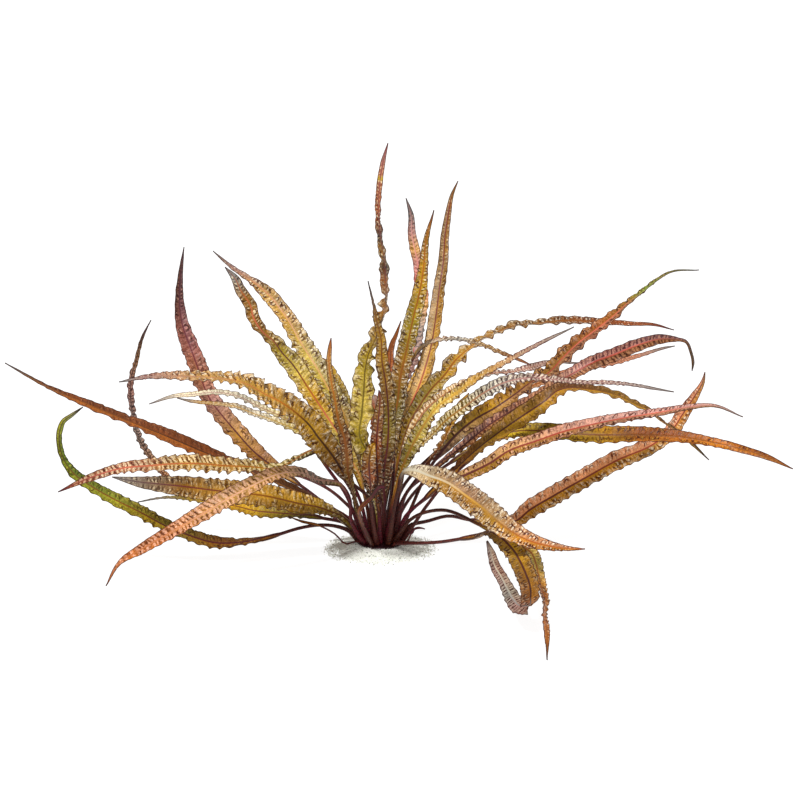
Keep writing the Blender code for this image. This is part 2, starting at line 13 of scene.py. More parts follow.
import bpy
import numpy as np
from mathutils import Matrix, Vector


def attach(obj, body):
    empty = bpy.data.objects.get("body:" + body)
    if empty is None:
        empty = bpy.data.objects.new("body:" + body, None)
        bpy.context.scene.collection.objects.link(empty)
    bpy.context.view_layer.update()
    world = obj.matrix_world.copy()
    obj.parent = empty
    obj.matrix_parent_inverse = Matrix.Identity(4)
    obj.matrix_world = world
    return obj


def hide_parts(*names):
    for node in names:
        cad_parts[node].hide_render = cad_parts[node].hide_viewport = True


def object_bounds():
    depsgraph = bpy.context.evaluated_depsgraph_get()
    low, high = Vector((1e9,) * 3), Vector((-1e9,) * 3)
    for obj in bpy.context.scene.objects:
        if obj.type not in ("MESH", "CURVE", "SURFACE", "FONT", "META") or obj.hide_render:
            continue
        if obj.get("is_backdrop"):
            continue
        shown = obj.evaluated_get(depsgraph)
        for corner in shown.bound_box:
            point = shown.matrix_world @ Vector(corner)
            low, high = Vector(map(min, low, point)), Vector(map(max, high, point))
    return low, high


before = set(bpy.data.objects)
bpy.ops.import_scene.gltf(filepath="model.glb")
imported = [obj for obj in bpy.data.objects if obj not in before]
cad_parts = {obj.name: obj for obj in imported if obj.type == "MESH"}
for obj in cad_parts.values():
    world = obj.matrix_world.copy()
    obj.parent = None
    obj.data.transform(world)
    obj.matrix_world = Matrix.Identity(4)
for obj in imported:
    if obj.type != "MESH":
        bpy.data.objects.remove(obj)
cad_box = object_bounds()
MM = 0.001
print("CAD nodes:", len(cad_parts), "CAD box:", [list(corner) for corner in cad_box])

# %% [markdown]
# ## The camera
# The photograph was taken from in front and a little above, from far enough away that
# the near and far leaves keep nearly the same scale. A long lens 2.5 m away gives that:
# one pixel of an 800-pixel picture is about one millimetre at the crown.

# %% Camera at the photograph's angle
SIGHT_ANGLE = math.radians(13.5)
SIGHT_DISTANCE = 2500.0
AIM_RIGHT = 20.0
AIM_UP = 148.0
SIGHT_BASE = 1.0
TO_VIEWER = np.array([0.0, -math.cos(SIGHT_ANGLE), math.sin(SIGHT_ANGLE)])
PICTURE_UP = np.array([0.0, math.sin(SIGHT_ANGLE), math.cos(SIGHT_ANGLE)])
SENSOR_MM = 36.0
VIEW_WIDTH_MM = 800.0


def in_scene(name, data):
    """A new object with this data, linked into the scene."""
    thing = bpy.data.objects.new(name, data)
    bpy.context.scene.collection.objects.link(thing)
    return thing


aim = np.array([AIM_RIGHT, 0.0, SIGHT_BASE]) + AIM_UP * PICTURE_UP
camera_data = bpy.data.cameras.new("camera")
camera_data.sensor_width = SENSOR_MM
camera_data.lens = SENSOR_MM * SIGHT_DISTANCE / VIEW_WIDTH_MM
camera_data.clip_end = 60.0
camera = in_scene("camera", camera_data)
camera.location = (aim + SIGHT_DISTANCE * TO_VIEWER) * MM
camera.rotation_euler = (math.pi / 2 - SIGHT_ANGLE, 0.0, 0.0)
bpy.context.scene.camera = camera
print("lens:", camera_data.lens, "mm, camera at", [round(x, 3) for x in camera.location])

# %% [markdown]
# ## Floor and light
# The picture is high-key: a plain white ground, soft light from all round, and more of it
# from the upper left in front, which brings out the puckers of the leaves. A white world
# and two sun lamps give that evenly. The ground shows hardly any shadow, as on a table of
# opal acrylic that is lit from below, so the floor is such a sheet: a grey surface that
# takes little of the lamps' light, with a glow that brings it up to white.

# %% One helper adds a node, one turns hex into linear colour
def linear(code, alpha=1.0):
    """A linear colour from an sRGB hex value."""
    parts = [int(code[i : i + 2], 16) / 255 for i in (1, 3, 5)]
    parts = [p / 12.92 if p <= 0.04045 else ((p + 0.055) / 1.055) ** 2.4 for p in parts]
    return (*parts, alpha)


MODES = {
    "Math": "operation", "MapRange": "interpolation_type", "TexWhiteNoise": "noise_dimensions",
    "Attribute": "attribute_name", "MixRGB": "blend_type", "VectorMath": "operation",
}


def add(tree, kind, *values, out=0, **links):
    """Adds a node and returns one of its outputs. A kind like "Math ADD" gives its mode too.
    Values go to its inputs in order, links to the inputs they name, with _ for a space."""
    kind, _, mode = kind.partition(" ")
    node = tree.nodes.new("ShaderNode" + kind)
    if mode:
        setattr(node, MODES[kind], mode)
    for key, value in [*enumerate(values), *links.items()]:
        entry = node.inputs[key.replace("_", " ") if isinstance(key, str) else key]
        if isinstance(value, bpy.types.NodeSocket):
            tree.links.new(value, entry)
        else:
            entry.default_value = value
    return node.outputs[out]


def new_material(name):
    """An empty material and its shader, already joined to the output."""
    material = bpy.data.materials.new(name)
    material.use_nodes = True
    tree = material.node_tree
    return material, tree, tree.nodes["Principled BSDF"]


print("middle grey as a linear value:", round(linear("#808080")[0], 3))

# %% Opal floor, white surroundings and two wide sun lamps
WORLD_STRENGTH = 0.44
# Each lamp: its name, strength, the angle of its disc and its turns, in degrees
LAMPS = (("key", 2.9, 10, (34, -8, -35)), ("fill", 0.5, 50, (30, 8, 60)))

world = bpy.data.worlds.new("white_studio")
world.use_nodes = True
world.node_tree.nodes["Background"].inputs["Color"].default_value = linear("#FFFFFF")
world.node_tree.nodes["Background"].inputs["Strength"].default_value = WORLD_STRENGTH
bpy.context.scene.world = world
bpy.context.scene.view_settings.view_transform = "Standard"
for lamp_name, energy, spread, turn in LAMPS:
    lamp_data = bpy.data.lights.new(lamp_name, "SUN")
    lamp_data.energy = energy
    lamp_data.angle = math.radians(spread)
    in_scene(lamp_name, lamp_data).rotation_euler = [math.radians(a) for a in turn]

FLOOR_HALF = 40.0
FLOOR_LEVEL = -0.0002
SHEET_GLOW = 0.90
floor_mesh = bpy.data.meshes.new("floor")
corners = [(-1, -1), (1, -1), (1, 1), (-1, 1)]
corners = [(x * FLOOR_HALF, y * FLOOR_HALF, FLOOR_LEVEL) for x, y in corners]
floor_mesh.from_pydata(corners, [], [(0, 1, 2, 3)])
floor = in_scene("floor", floor_mesh)
opal, _, opal_shader = new_material("backlit_opal_sheet")
opal_shader.inputs["Base Color"].default_value = linear("#808080")
opal_shader.inputs["Roughness"].default_value = 0.9
opal_shader.inputs["Specular IOR Level"].default_value = 0.1
opal_shader.inputs["Emission Color"].default_value = linear("#FFFFFF")
opal_shader.inputs["Emission Strength"].default_value = SHEET_GLOW
floor_mesh.materials.append(opal)
floor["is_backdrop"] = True
print("lamps:", [row[0] for row in LAMPS], "floor:", 2 * FLOOR_HALF, "m square")

# %% [markdown]
# ## The leaves' routes
# A leaf could be drawn as a curve with a bevel, but the blades roll, ripple and change
# width, so each is a mesh swept along its own middle line. The table is the one that the
# CAD solids are made from. A route point says how far right of the crown and above it the
# leaf is seen from the front, how far behind the crown it lies, and, on the blade, how
# wide it looks there.

# %% Routes, from the crown to the tip, in millimetres
LEAVES = {
    # Far left, a long rust strap that rises to a thin tip
    "leaf_01": ("rust", 20, [
        (-30, 28, 2), (-55, 43, 4), (-83, 57, 0, 7), (-118, 72, -12, 6),
        (-145, 83, -20, 7), (-175, 95, -28, 12), (-210, 110, -35, 13), (-250, 126, -42, 8),
        (-287, 141, -48, 8), (-333, 161, -54, 3), (-375, 185, -60, 1)]),
    # Left, an arching salmon strap over the rust one
    "leaf_02": ("salmon", 21, [
        (-20, 48, -12), (-40, 83, -26), (-58, 98, -36), (-81, 90, -44, 5),
        (-102, 80, -50, 6), (-130, 81, -60, 11), (-155, 82, -72, 14),
        (-180, 84, -84, 15), (-205, 84, -95, 14), (-230, 82, -105, 12),
        (-255, 80, -114, 10), (-288, 71, -126, 8), (-322, 56, -136, 1)]),
    # Front left, a peach strap that comes down towards the viewer
    "leaf_03": ("peach", 22, [
        (-29, 28, -25), (-30, 48, -32), (-38, 62, -40), (-60, 67, -52, 6),
        (-81, 75, -66, 8), (-100, 74, -78, 12), (-126, 63, -94, 15),
        (-152, 49, -106, 17), (-177, 34, -122, 16), (-208, 16, -140, 13),
        (-238, -1, -156, 10), (-261, -16, -168, 4), (-274, -38, -178, 1)]),
    # Left, a wide olive strap seen full on
    "leaf_04": ("olive", 24, [
        (-27, 19, -11), (-42, 32, -12, 5), (-60, 40, -14, 14), (-80, 44, -20, 20),
        (-115, 52, -30, 22), (-160, 57, -42, 24), (-200, 62, -52, 20),
        (-220, 64, -57, 16), (-240, 66, -62, 11), (-268, 71, -68, 1)]),
    # Left and a little behind, narrow and yellow
    "leaf_05": ("gold", 16, [
        (-26, 19, 11), (-58, 30, 18), (-81, 33, 22, 7), (-105, 35, 28, 12),
        (-125, 37, 34, 12), (-142, 41, 40, 10), (-160, 44, 46, 7),
        (-180, 47, 52, 4), (-215, 50, 63, 2), (-242, 46, 70, 1)]),
    # Far left, low, with a hooked green end
    "leaf_06": ("olive", 16, [
        (-29, 16, -6), (-45, 22, -10), (-60, 23, -14), (-80, 20, -19),
        (-100, 14, -24), (-117, 9, -28, 4), (-143, 5, -33, 7), (-165, 5, -37, 12),
        (-190, 12, -42, 11), (-215, 22, -46, 11), (-239, 35, -50, 12),
        (-265, 48, -53, 12), (-288, 61, -56, 10), (-307, 75, -58, 9),
        (-317, 89, -58, 5), (-321, 104, -57, 5), (-320, 118, -55, 6),
        (-317, 126, -53, 5), (-308, 133, -50, 4), (-297, 141, -46, 1)]),
    # Back left, thin, low and then upright
    "leaf_07": ("mauve", 13, [
        (-40, 28, 25), (-90, 46, 60), (-140, 54, 95), (-185, 58, 130),
        (-208, 66, 150, 5), (-228, 88, 168, 6), (-242, 111, 182, 5),
        (-247, 130, 190, 4), (-250, 153, 198, 6), (-250, 165, 202, 5),
        (-244, 188, 210, 4), (-238, 210, 218, 3), (-229, 228, 225, 1)]),
    # Back left, a big maroon-rose blade that curves upright
    "leaf_08": ("mauve", 22, [
        (-60, 48, 50), (-80, 63, 68), (-108, 82, 90, 12), (-125, 95, 104, 17),
        (-145, 117, 122, 19), (-157, 131, 132, 18), (-171, 150, 145, 17),
        (-184, 185, 164, 19), (-192, 207, 176, 18), (-197, 221, 182, 15),
        (-201, 247, 192, 9), (-200, 272, 200, 5), (-196, 301, 208, 1)]),
    # Front left, wide, gold with cream ruffles
    "leaf_09": ("gold", 27, [
        (-6, 33, -12), (-11, 50, -18), (-27, 64, -28), (-34, 71, -34, 8),
        (-45, 89, -46, 20), (-62, 111, -62, 27), (-71, 123, -70, 26),
        (-83, 134, -78, 24), (-100, 146, -90, 20), (-116, 154, -98, 18),
        (-130, 162, -106, 16), (-145, 167, -114, 11), (-158, 169, -120, 9),
        (-194, 171, -136, 9), (-229, 171, -150, 5), (-261, 166, -162, 1)]),
    # Left, a pale pink strap seen edge-on
    "leaf_10": ("rose", 14, [
        (-30, 60, 2), (-55, 92, 4), (-80, 120, 5, 6), (-94, 129, 6, 6),
        (-119, 140, 8, 6), (-144, 152, 8, 5), (-160, 155, 8, 5),
        (-190, 153, 8, 5), (-204, 152, 8, 4), (-231, 144, 8, 1)]),
    # Left, a pale olive strap just below it, also edge-on
    "leaf_11": ("peach", 13, [
        (-35, 55, -8), (-58, 88, -16), (-70, 108, -20, 8), (-103, 126, -26, 6),
        (-129, 135, -30, 6), (-144, 141, -33, 5), (-157, 143, -35, 4),
        (-190, 147, -38, 3), (-203, 150, -38, 1)]),
    # Upper left, olive with a grey-mauve tip
    "leaf_12": ("olive", 21, [
        (-17, 58, 12), (-22, 72, 17, 6), (-28, 86, 22, 10), (-37, 106, 30, 13),
        (-55, 134, 42, 17),
        (-72, 160, 52, 20), (-88, 184, 62, 20), (-98, 195, 68, 17),
        (-107, 207, 74, 13), (-116, 214, 78, 9), (-127, 232, 86, 13),
        (-129, 241, 90, 13), (-140, 259, 98, 11), (-144, 268, 102, 9),
        (-155, 281, 108, 1)]),
    # Upper left, behind that one, peach towards the top
    "leaf_13": ("peach", 22, [
        (-12, 58, 26), (-18, 74, 35, 5), (-24, 88, 44, 10), (-30, 108, 60, 12),
        (-36, 133, 80, 14), (-52, 160, 100, 20), (-68, 188, 120, 22),
        (-76, 200, 128, 20), (-94, 231, 150, 16), (-111, 253, 166, 16),
        (-120, 261, 172, 12), (-130, 268, 178, 7), (-150, 282, 190, 4),
        (-167, 297, 200, 1)]),
    # Front, small and salmon, left of the middle
    "leaf_14": ("salmon", 12, [
        (-22, 33, -26), (-28, 58, -44, 4), (-32, 73, -56, 9), (-33, 87, -66, 11),
        (-37, 114, -81, 11), (-41, 125, -87, 10), (-45, 146, -98, 8),
        (-49, 167, -109, 6), (-51, 190, -120, 5), (-50, 201, -125, 4),
        (-49, 210, -130, 1)]),
    # Middle, the tallest: broad and gold below, brown and twisted above
    "leaf_15": ("gold", 24, [
        (-4, 53, 4, 4), (-10, 80, 9, 14), (-11, 92, 13, 15), (-20, 112, 17, 17),
        (-18, 134, 21, 23), (-16, 157, 25, 22), (-14, 181, 28, 16),
        (-11, 194, 30, 14), (-5, 207, 32, 10), (2, 228, 35, 10), (7, 251, 38, 4),
        (6, 270, 40, 10), (5, 289, 42, 6), (2, 305, 44, 6), (-1, 333, 46, 5),
        (0, 363, 48, 6), (3, 386, 50, 5), (8, 405, 52, 1)]),
    # Middle front, olive-gold with a thread tip
    "leaf_16": ("gold", 15, [
        (4, 40, -14), (3, 64, -21, 9), (4, 80, -27, 14), (7, 100, -34, 14),
        (8, 138, -50, 14),
        (5, 168, -61, 13), (2, 187, -68, 13), (1, 208, -76, 9), (-4, 229, -83, 6),
        (-7, 244, -88, 2), (-12, 267, -96, 1)]),
    # Middle, small, red-brown
    "leaf_17": ("brown", 11, [
        (8, 60, 26), (10, 110, 52, 9), (11, 150, 72, 9), (10, 183, 90, 8),
        (12, 203, 100, 6), (16, 213, 105, 4), (21, 227, 112, 1)]),
    # Middle right, olive-brown with cream ridges
    "leaf_18": ("olive", 20, [
        (5, 45, 2), (8, 68, 2, 8), (10, 98, 2, 14), (13, 124, 2, 18),
        (18, 148, 2, 18), (20, 167, 2, 18), (27, 199, 2, 17), (33, 228, 2, 16),
        (40, 258, 2, 14), (44, 283, 2, 9), (46, 306, 2, 6), (54, 338, 2, 1)]),
    # Behind it, pink with a grey-mauve tip
    "leaf_19": ("rose", 17, [
        (4, 60, 42), (13, 120, 90, 11), (22, 168, 118, 15), (31, 188, 130, 16),
        (38, 228, 154, 16), (41, 248, 166, 16), (40, 268, 177, 13),
        (38, 283, 185, 9), (35, 298, 192, 11), (32, 313, 200, 9),
        (31, 333, 211, 6), (26, 350, 220, 1)]),
    # Tall and orange-tan, right of the middle
    "leaf_20": ("salmon", 17, [
        (14, 60, 36), (18, 92, 60, 6), (24, 118, 80, 10), (31, 143, 98, 12),
        (39, 161, 112, 14),
        (46, 182, 126, 15), (52, 205, 140, 14), (56, 230, 155, 14),
        (60, 262, 174, 12), (63, 283, 186, 11), (65, 313, 202, 9),
        (68, 333, 213, 7), (72, 353, 223, 4), (78, 367, 230, 1)]),
    # Thin and pale, rising and then arching over to the right
    "leaf_21": ("peach", 10, [
        (12, 50, 12), (14, 108, 16), (19, 150, 19), (28, 180, 20), (35, 193, 19),
        (41, 200, 14, 4),
        (50, 205, 8, 4), (61, 208, 0, 4), (81, 208, -14, 4), (101, 203, -29, 4),
        (121, 195, -45, 4), (142, 187, -60, 3), (151, 183, -66, 1)]),
    # Back right, an orange-brown arch
    "leaf_22": ("salmon", 19, [
        (16, 68, 32), (22, 98, 45, 9), (29, 123, 56, 13), (39, 141, 64, 16),
        (50, 157, 75, 18),
        (65, 173, 88, 15), (77, 189, 101, 14), (84, 195, 108, 9),
        (98, 206, 120, 5), (121, 217, 140, 6), (139, 223, 156, 7),
        (155, 224, 168, 5), (183, 227, 188, 9), (220, 226, 210, 7),
        (250, 224, 226, 5), (275, 223, 238, 3), (294, 218, 246, 1)]),
    # Right, pale yellow, seen edge-on
    "leaf_23": ("gold", 13, [
        (14, 48, -18), (21, 76, -26, 7), (29, 96, -33, 14), (38, 113, -39, 16),
        (46, 126, -44, 13), (57, 140, -50, 9),
        (76, 154, -62, 10), (85, 161, -67, 9), (105, 174, -79, 6),
        (132, 189, -94, 5), (150, 199, -103, 4), (173, 211, -114, 3),
        (194, 221, -123, 1)]),
    # Right and behind, dusty pink
    "leaf_24": ("rose", 13, [
        (20, 60, 17), (26, 98, 31, 8), (34, 120, 39, 10), (45, 137, 46, 10),
        (60, 150, 53, 9),
        (86, 165, 69, 7), (111, 174, 86, 4), (133, 176, 101, 4), (152, 181, 115, 8),
        (171, 186, 129, 4), (193, 185, 145, 2), (205, 185, 152, 1)]),
    # Straight up to the right, rose-orange and strongly ruffled
    "leaf_25": ("salmon", 21, [
        (55, 88, 20), (65, 101, 25, 12), (80, 117, 31, 16), (97, 130, 39, 20),
        (115, 140, 48, 20), (133, 152, 56, 16), (152, 166, 68, 11),
        (170, 176, 78, 13), (183, 190, 87, 14), (200, 206, 98, 13),
        (216, 218, 108, 12), (235, 233, 119, 9), (247, 244, 126, 5),
        (260, 254, 133, 4), (276, 267, 142, 3), (289, 275, 148, 2),
        (319, 278, 158, 1)]),
    # Right, pale pink-cream, arching level
    "leaf_26": ("peach", 14, [
        (11, 40, -11), (21, 68, -15, 4), (27, 88, -18, 5), (39, 101, -23, 6),
        (52, 113, -27, 6), (68, 129, -32, 11), (86, 142, -37, 12),
        (104, 155, -42, 12), (124, 165, -47, 12), (150, 170, -53, 7),
        (175, 168, -58, 6), (201, 165, -62, 4), (228, 165, -66, 4),
        (252, 163, -70, 3), (271, 160, -72, 3), (294, 156, -75, 1)]),
    # Right, dusty mauve with a hooked grey end
    "leaf_27": ("mauve", 16, [
        (30, 60, 8), (45, 72, 7), (73, 94, 6, 6), (92, 109, 8, 10),
        (111, 124, 10, 10), (137, 140, 12, 9), (160, 154, 15, 7),
        (183, 169, 17, 8), (191, 173, 18, 12), (214, 186, 20, 14),
        (233, 193, 22, 14), (258, 203, 24, 13), (281, 209, 26, 10),
        (299, 208, 27, 4), (306, 206, 27, 3), (310, 198, 26, 3),
        (313, 185, 24, 3), (312, 177, 23, 1)]),
    # Far right and behind, small and peach at its end
    "leaf_28": ("peach", 12, [
        (18, 50, 20), (60, 100, 60), (110, 140, 100), (160, 165, 140, 8),
        (200, 178, 168, 8), (240, 187, 192, 6), (262, 193, 204, 4),
        (284, 200, 215, 3), (295, 202, 220, 1)]),
    # Right, gold-olive, broad and then drooping to a thread
    "leaf_29": ("olive", 20, [
        (25, 30, -10), (45, 50, -13), (70, 73, -16, 4), (98, 99, -19, 10),
        (124, 119, -20, 16), (150, 137, -20, 20), (165, 147, -19, 18),
        (178, 157, -17, 13), (185, 159, -15, 9), (211, 158, -11, 8),
        (237, 152, -8, 7), (258, 142, -6, 6), (269, 137, -5, 4),
        (280, 128, -4, 2), (296, 118, -2, 2), (310, 106, -1, 4), (329, 88, 0, 1)]),
    # Front right, pink at its end and olive below
    "leaf_30": ("rose", 16, [
        (32, 21, -16), (48, 44, -28), (68, 66, -41), (85, 73, -50, 12),
        (110, 85, -62, 14), (129, 97, -71, 14), (157, 107, -84, 13),
        (183, 116, -96, 13), (207, 122, -106, 11), (246, 130, -122, 9),
        (284, 136, -136, 7), (312, 141, -146, 5), (334, 142, -152, 3),
        (363, 131, -160, 1)]),
    # Front, the big strap that comes over and down to the right
    "leaf_31": ("peach", 25, [
        (13, 33, -24), (18, 58, -36), (23, 75, -48), (35, 77, -62, 12),
        (50, 72, -76, 20), (68, 65, -90, 24), (85, 53, -106, 24),
        (105, 38, -130, 25), (118, 26, -146, 24), (132, 16, -162, 20),
        (147, 8, -176, 15), (163, 3, -190, 11), (188, -1, -208, 4),
        (205, -1, -218, 1)]),
    # Front right, folded back on itself at its lowest point
    "leaf_32": ("gold", 19, [
        (27, 5, -28), (43, 5, -42), (60, 6, -56), (80, 9, -76), (98, 12, -94, 8),
        (111, 16, -108, 12), (120, 11, -122, 14), (134, -3, -150, 16),
        (140, -13, -174, 18), (146, -26, -202, 18), (150, -37, -226, 16),
        (151, -49, -248, 12), (149, -58, -264, 9), (141, -58, -256, 9),
        (134, -52, -236, 12), (128, -42, -210, 11), (122, -30, -182, 11),
        (115, -18, -156, 10), (111, -5, -132, 8), (107, 7, -108, 2)]),
    # Front right, hanging down to the surface
    "leaf_33": ("salmon", 14, [
        (30, 28, -22), (62, 38, -44), (100, 23, -76), (125, 11, -102, 8),
        (141, 2, -124, 10), (151, -5, -140, 12), (155, -14, -156, 12),
        (158, -27, -180, 11), (161, -41, -207, 9), (164, -53, -232, 6),
        (164, -67, -262, 4), (166, -80, -286, 6), (167, -91, -306, 5),
        (167, -103, -325, 2), (167, -112, -338, 1)]),
    # Right, a long salmon strap that curves up at its end
    "leaf_34": ("salmon", 20, [
        (28, 21, -3), (48, 27, -1), (68, 32, 2), (90, 28, 8), (115, 26, 14, 6),
        (136, 27, 18, 13), (150, 38, 20, 18), (170, 50, 22, 19),
        (207, 71, 26, 19), (240, 89, 28, 19), (270, 102, 30, 17),
        (292, 118, 32, 15), (302, 133, 32, 14), (314, 151, 30, 9),
        (323, 167, 28, 4), (325, 176, 27, 1)]),
    # Far right, the longest, olive and then orange-brown
    "leaf_35": ("rust", 18, [
        (24, 29, -4), (57, 58, 2), (85, 84, 6), (115, 111, 4, 6), (133, 116, 0, 12),
        (163, 117, -8, 14), (195, 114, -18, 16), (220, 113, -26, 17),
        (258, 113, -38, 15), (297, 111, -52, 12), (329, 106, -64, 9),
        (361, 99, -78, 8), (387, 91, -90, 6), (413, 79, -102, 1)]),
    # Right, small and gold
    "leaf_36": ("gold", 9, [
        (21, 45, -6), (45, 80, -8), (64, 108, -8, 5), (75, 133, -6, 8),
        (80, 143, -5, 7), (89, 155, -4, 1)]),
    # Middle front, short and broad, its tip curled back
    "leaf_46": ("brown", 15, [
        (-9, 44, -46), (-9, 60, -56, 7), (-10, 72, -63, 13), (-11, 84, -69, 15),
        (-10, 94, -71, 13), (-8, 101, -69, 8), (-5, 105, -64, 2)]),
    # Middle front, narrow and red-brown
    "leaf_37": ("brown", 14, [
        (-1, 36, -20), (-3, 56, -34, 4), (-2, 68, -42, 12), (-3, 82, -50, 14),
        (-3, 112, -66, 11), (-1, 135, -78, 10), (0, 147, -84, 7), (-1, 158, -90, 1)]),
    # Front, a short olive-brown strap over the petioles
    "leaf_38": ("brown", 7, [
        (-13, 14, -33), (-19, 29, -46, 4), (-20, 37, -54, 4), (-9, 50, -64, 5),
        (1, 61, -71, 5), (6, 60, -75, 1)]),
    # A new leaf, still small and curled, right of the crown
    "leaf_39": ("maroon", 3, [
        (27, 6, -22), (31, 14, -26), (35, 19, -27, 2), (41, 20, -28, 2),
        (45, 19, -28, 1)]),
    # An old thin leaf, left of the crown
    "leaf_40": ("brown", 3, [
        (-34, 4, -16), (-45, 14, -20), (-60, 22, -24), (-80, 27, -28, 2),
        (-92, 32, -30, 1)]),
    # Five that lean away from the viewer
    "leaf_41": ("olive", 20, [
        (-10, 60, 50), (-25, 110, 110, 10), (-40, 150, 170, 18),
        (-52, 175, 225, 18), (-60, 185, 280, 12), (-64, 182, 325, 1)]),
    "leaf_42": ("gold", 20, [
        (12, 60, 54), (22, 110, 118, 10), (33, 150, 176, 18), (43, 175, 232, 18),
        (50, 190, 290, 12), (54, 188, 340, 1)]),
    "leaf_43": ("rust", 20, [
        (0, 50, 60), (0, 85, 130, 10), (-2, 115, 200, 16), (-4, 138, 270, 14),
        (-6, 150, 330, 8), (-8, 150, 370, 1)]),
    "leaf_44": ("olive", 16, [
        (-40, 50, 60), (-80, 72, 120), (-120, 80, 175, 10), (-155, 83, 220, 12),
        (-190, 86, 262, 10), (-215, 87, 288, 5), (-235, 88, 308, 1)]),
    "leaf_45": ("salmon", 16, [
        (30, 50, 60), (70, 85, 120), (120, 110, 180, 8), (160, 116, 225, 12),
        (200, 114, 270, 11), (235, 113, 305, 7), (262, 113, 330, 1)]),
}

FOLDED_LEAF = "leaf_32"
FOLD_LINE = np.array([-0.87, 0.0, -0.49])
print("leaves in the table:", len(LEAVES))

# %% From a sighting to a place
UP = np.array([0.0, 0.0, 1.0])


def place(right, up, back):
    """The point that is seen this far right of the crown and above it, this far back."""
    rise = math.sin(SIGHT_ANGLE)
    level = math.cos(SIGHT_ANGLE)
    above = up - AIM_UP
    nearer = (up * rise - back) / (level + above * rise / SIGHT_DISTANCE)
    scale = 1 - nearer / SIGHT_DISTANCE
    x = AIM_RIGHT + scale * (right - AIM_RIGHT)
    z = SIGHT_BASE + (AIM_UP + scale * above) * level + nearer * rise
    return np.array([x, back, z])


print("a sighting 100 mm right and 100 mm up:", np.round(place(100, 100, 0), 1), "mm")

# %% Where each stalk stands on the crown
CROWN_TOP = 7.0
GAP = 0.3
BASE_RADIUS = 20.2
BASE_PITCH = 4.7
SETTLING_ROUNDS = 400


def base_places():
    """Steep leaves stand near the crown's middle and spreading ones near its rim, each
    on its own side, pushed apart until none touch."""
    first = {name: place(*row[2][0][:3]) for name, row in LEAVES.items()}
    steep = sorted(first, key=lambda n: math.hypot(*first[n][:2]) / (first[n][2] - CROWN_TOP))
    spots = []
    for rank, name in enumerate(steep):
        radius = BASE_RADIUS * math.sqrt((rank + 0.5) / len(steep))
        heading = math.atan2(first[name][1], first[name][0])
        spots.append((radius * math.cos(heading), radius * math.sin(heading)))
    spots = np.array(spots)
    alone = np.eye(len(spots)) * BASE_RADIUS
    for _ in range(SETTLING_ROUNDS):
        apart = spots[:, None] - spots[None]
        distance = np.linalg.norm(apart, axis=2) + alone
        push = np.clip(BASE_PITCH - distance, 0, None) / 2 / distance
        spots = spots + (apart * push[..., None]).sum(axis=1)
        reach = np.linalg.norm(spots, axis=1)
        spots = spots * np.minimum(1, BASE_RADIUS / reach)[:, None]
    return {n: np.array([*spot, CROWN_TOP + GAP]) for n, spot in zip(steep, spots)}


bases = base_places()
print("stalks stand within", BASE_RADIUS, "mm of the crown's middle")

# %% A smooth middle line through the route's points
PETIOLE_WIDTH = 3.4
PETIOLE_BASE_WIDTH = 3.0
START_LENGTH = 6.0
START_LEAN = 1.1
ROUTE_STEPS = 480


def smooth(values, at, where):
    """Values read along a smooth curve through the given ones (cubic, end to end)."""
    slopes = np.gradient(values, at, axis=0)
    index = np.clip(np.searchsorted(at, where, side="right") - 1, 0, len(at) - 2)
    span = (at[index + 1] - at[index])[:, None]
    t = (where[:, None] - at[index][:, None]) / span
    start = (1 + 2 * t) * (1 - t) ** 2 * values[index]
    leave = t * (1 - t) ** 2 * span * slopes[index]
    end = t**2 * (3 - 2 * t) * values[index + 1]
    arrive = t**2 * (t - 1) * span * slopes[index + 1]
    return start + leave + end + arrive


def lengths_along(points):
    """The length along the line up to each of its points."""
    return np.concatenate([[0], np.cumsum(np.linalg.norm(np.diff(points, axis=0), axis=1))])


def leaf_line(base, route):
    """The middle line in equal steps, the width seen at each, and where the blade starts,
    as a length from the base."""
    lean = UP + np.array([base[0], base[1], 0]) * (START_LEAN / BASE_RADIUS)
    knots = [base, base + lean / np.linalg.norm(lean) * START_LENGTH]
    knots = np.array(knots + [place(*point[:3]) for point in route])
    seen = [PETIOLE_BASE_WIDTH, PETIOLE_WIDTH]
    seen += [point[3] if len(point) > 3 else PETIOLE_WIDTH for point in route]
    at = lengths_along(knots)
    blade = sum(len(point) < 4 for point in route) + 1
    fine = np.linspace(0, at[-1], ROUTE_STEPS)
    line = smooth(knots, at, fine)
    widths = np.interp(fine, at, seen)
    along = lengths_along(line)
    even = np.linspace(0, along[-1], ROUTE_STEPS)
    line = np.stack([np.interp(even, along, line[:, k]) for k in range(3)], axis=1)
    widths = np.interp(even, along, widths)
    start = np.interp(at[blade], fine, along)
    return line, widths, even, start


total_length = sum(leaf_line(bases[n], row[2])[2][-1] for n, row in LEAVES.items())
print("all leaves end to end:", round(total_length), "mm")
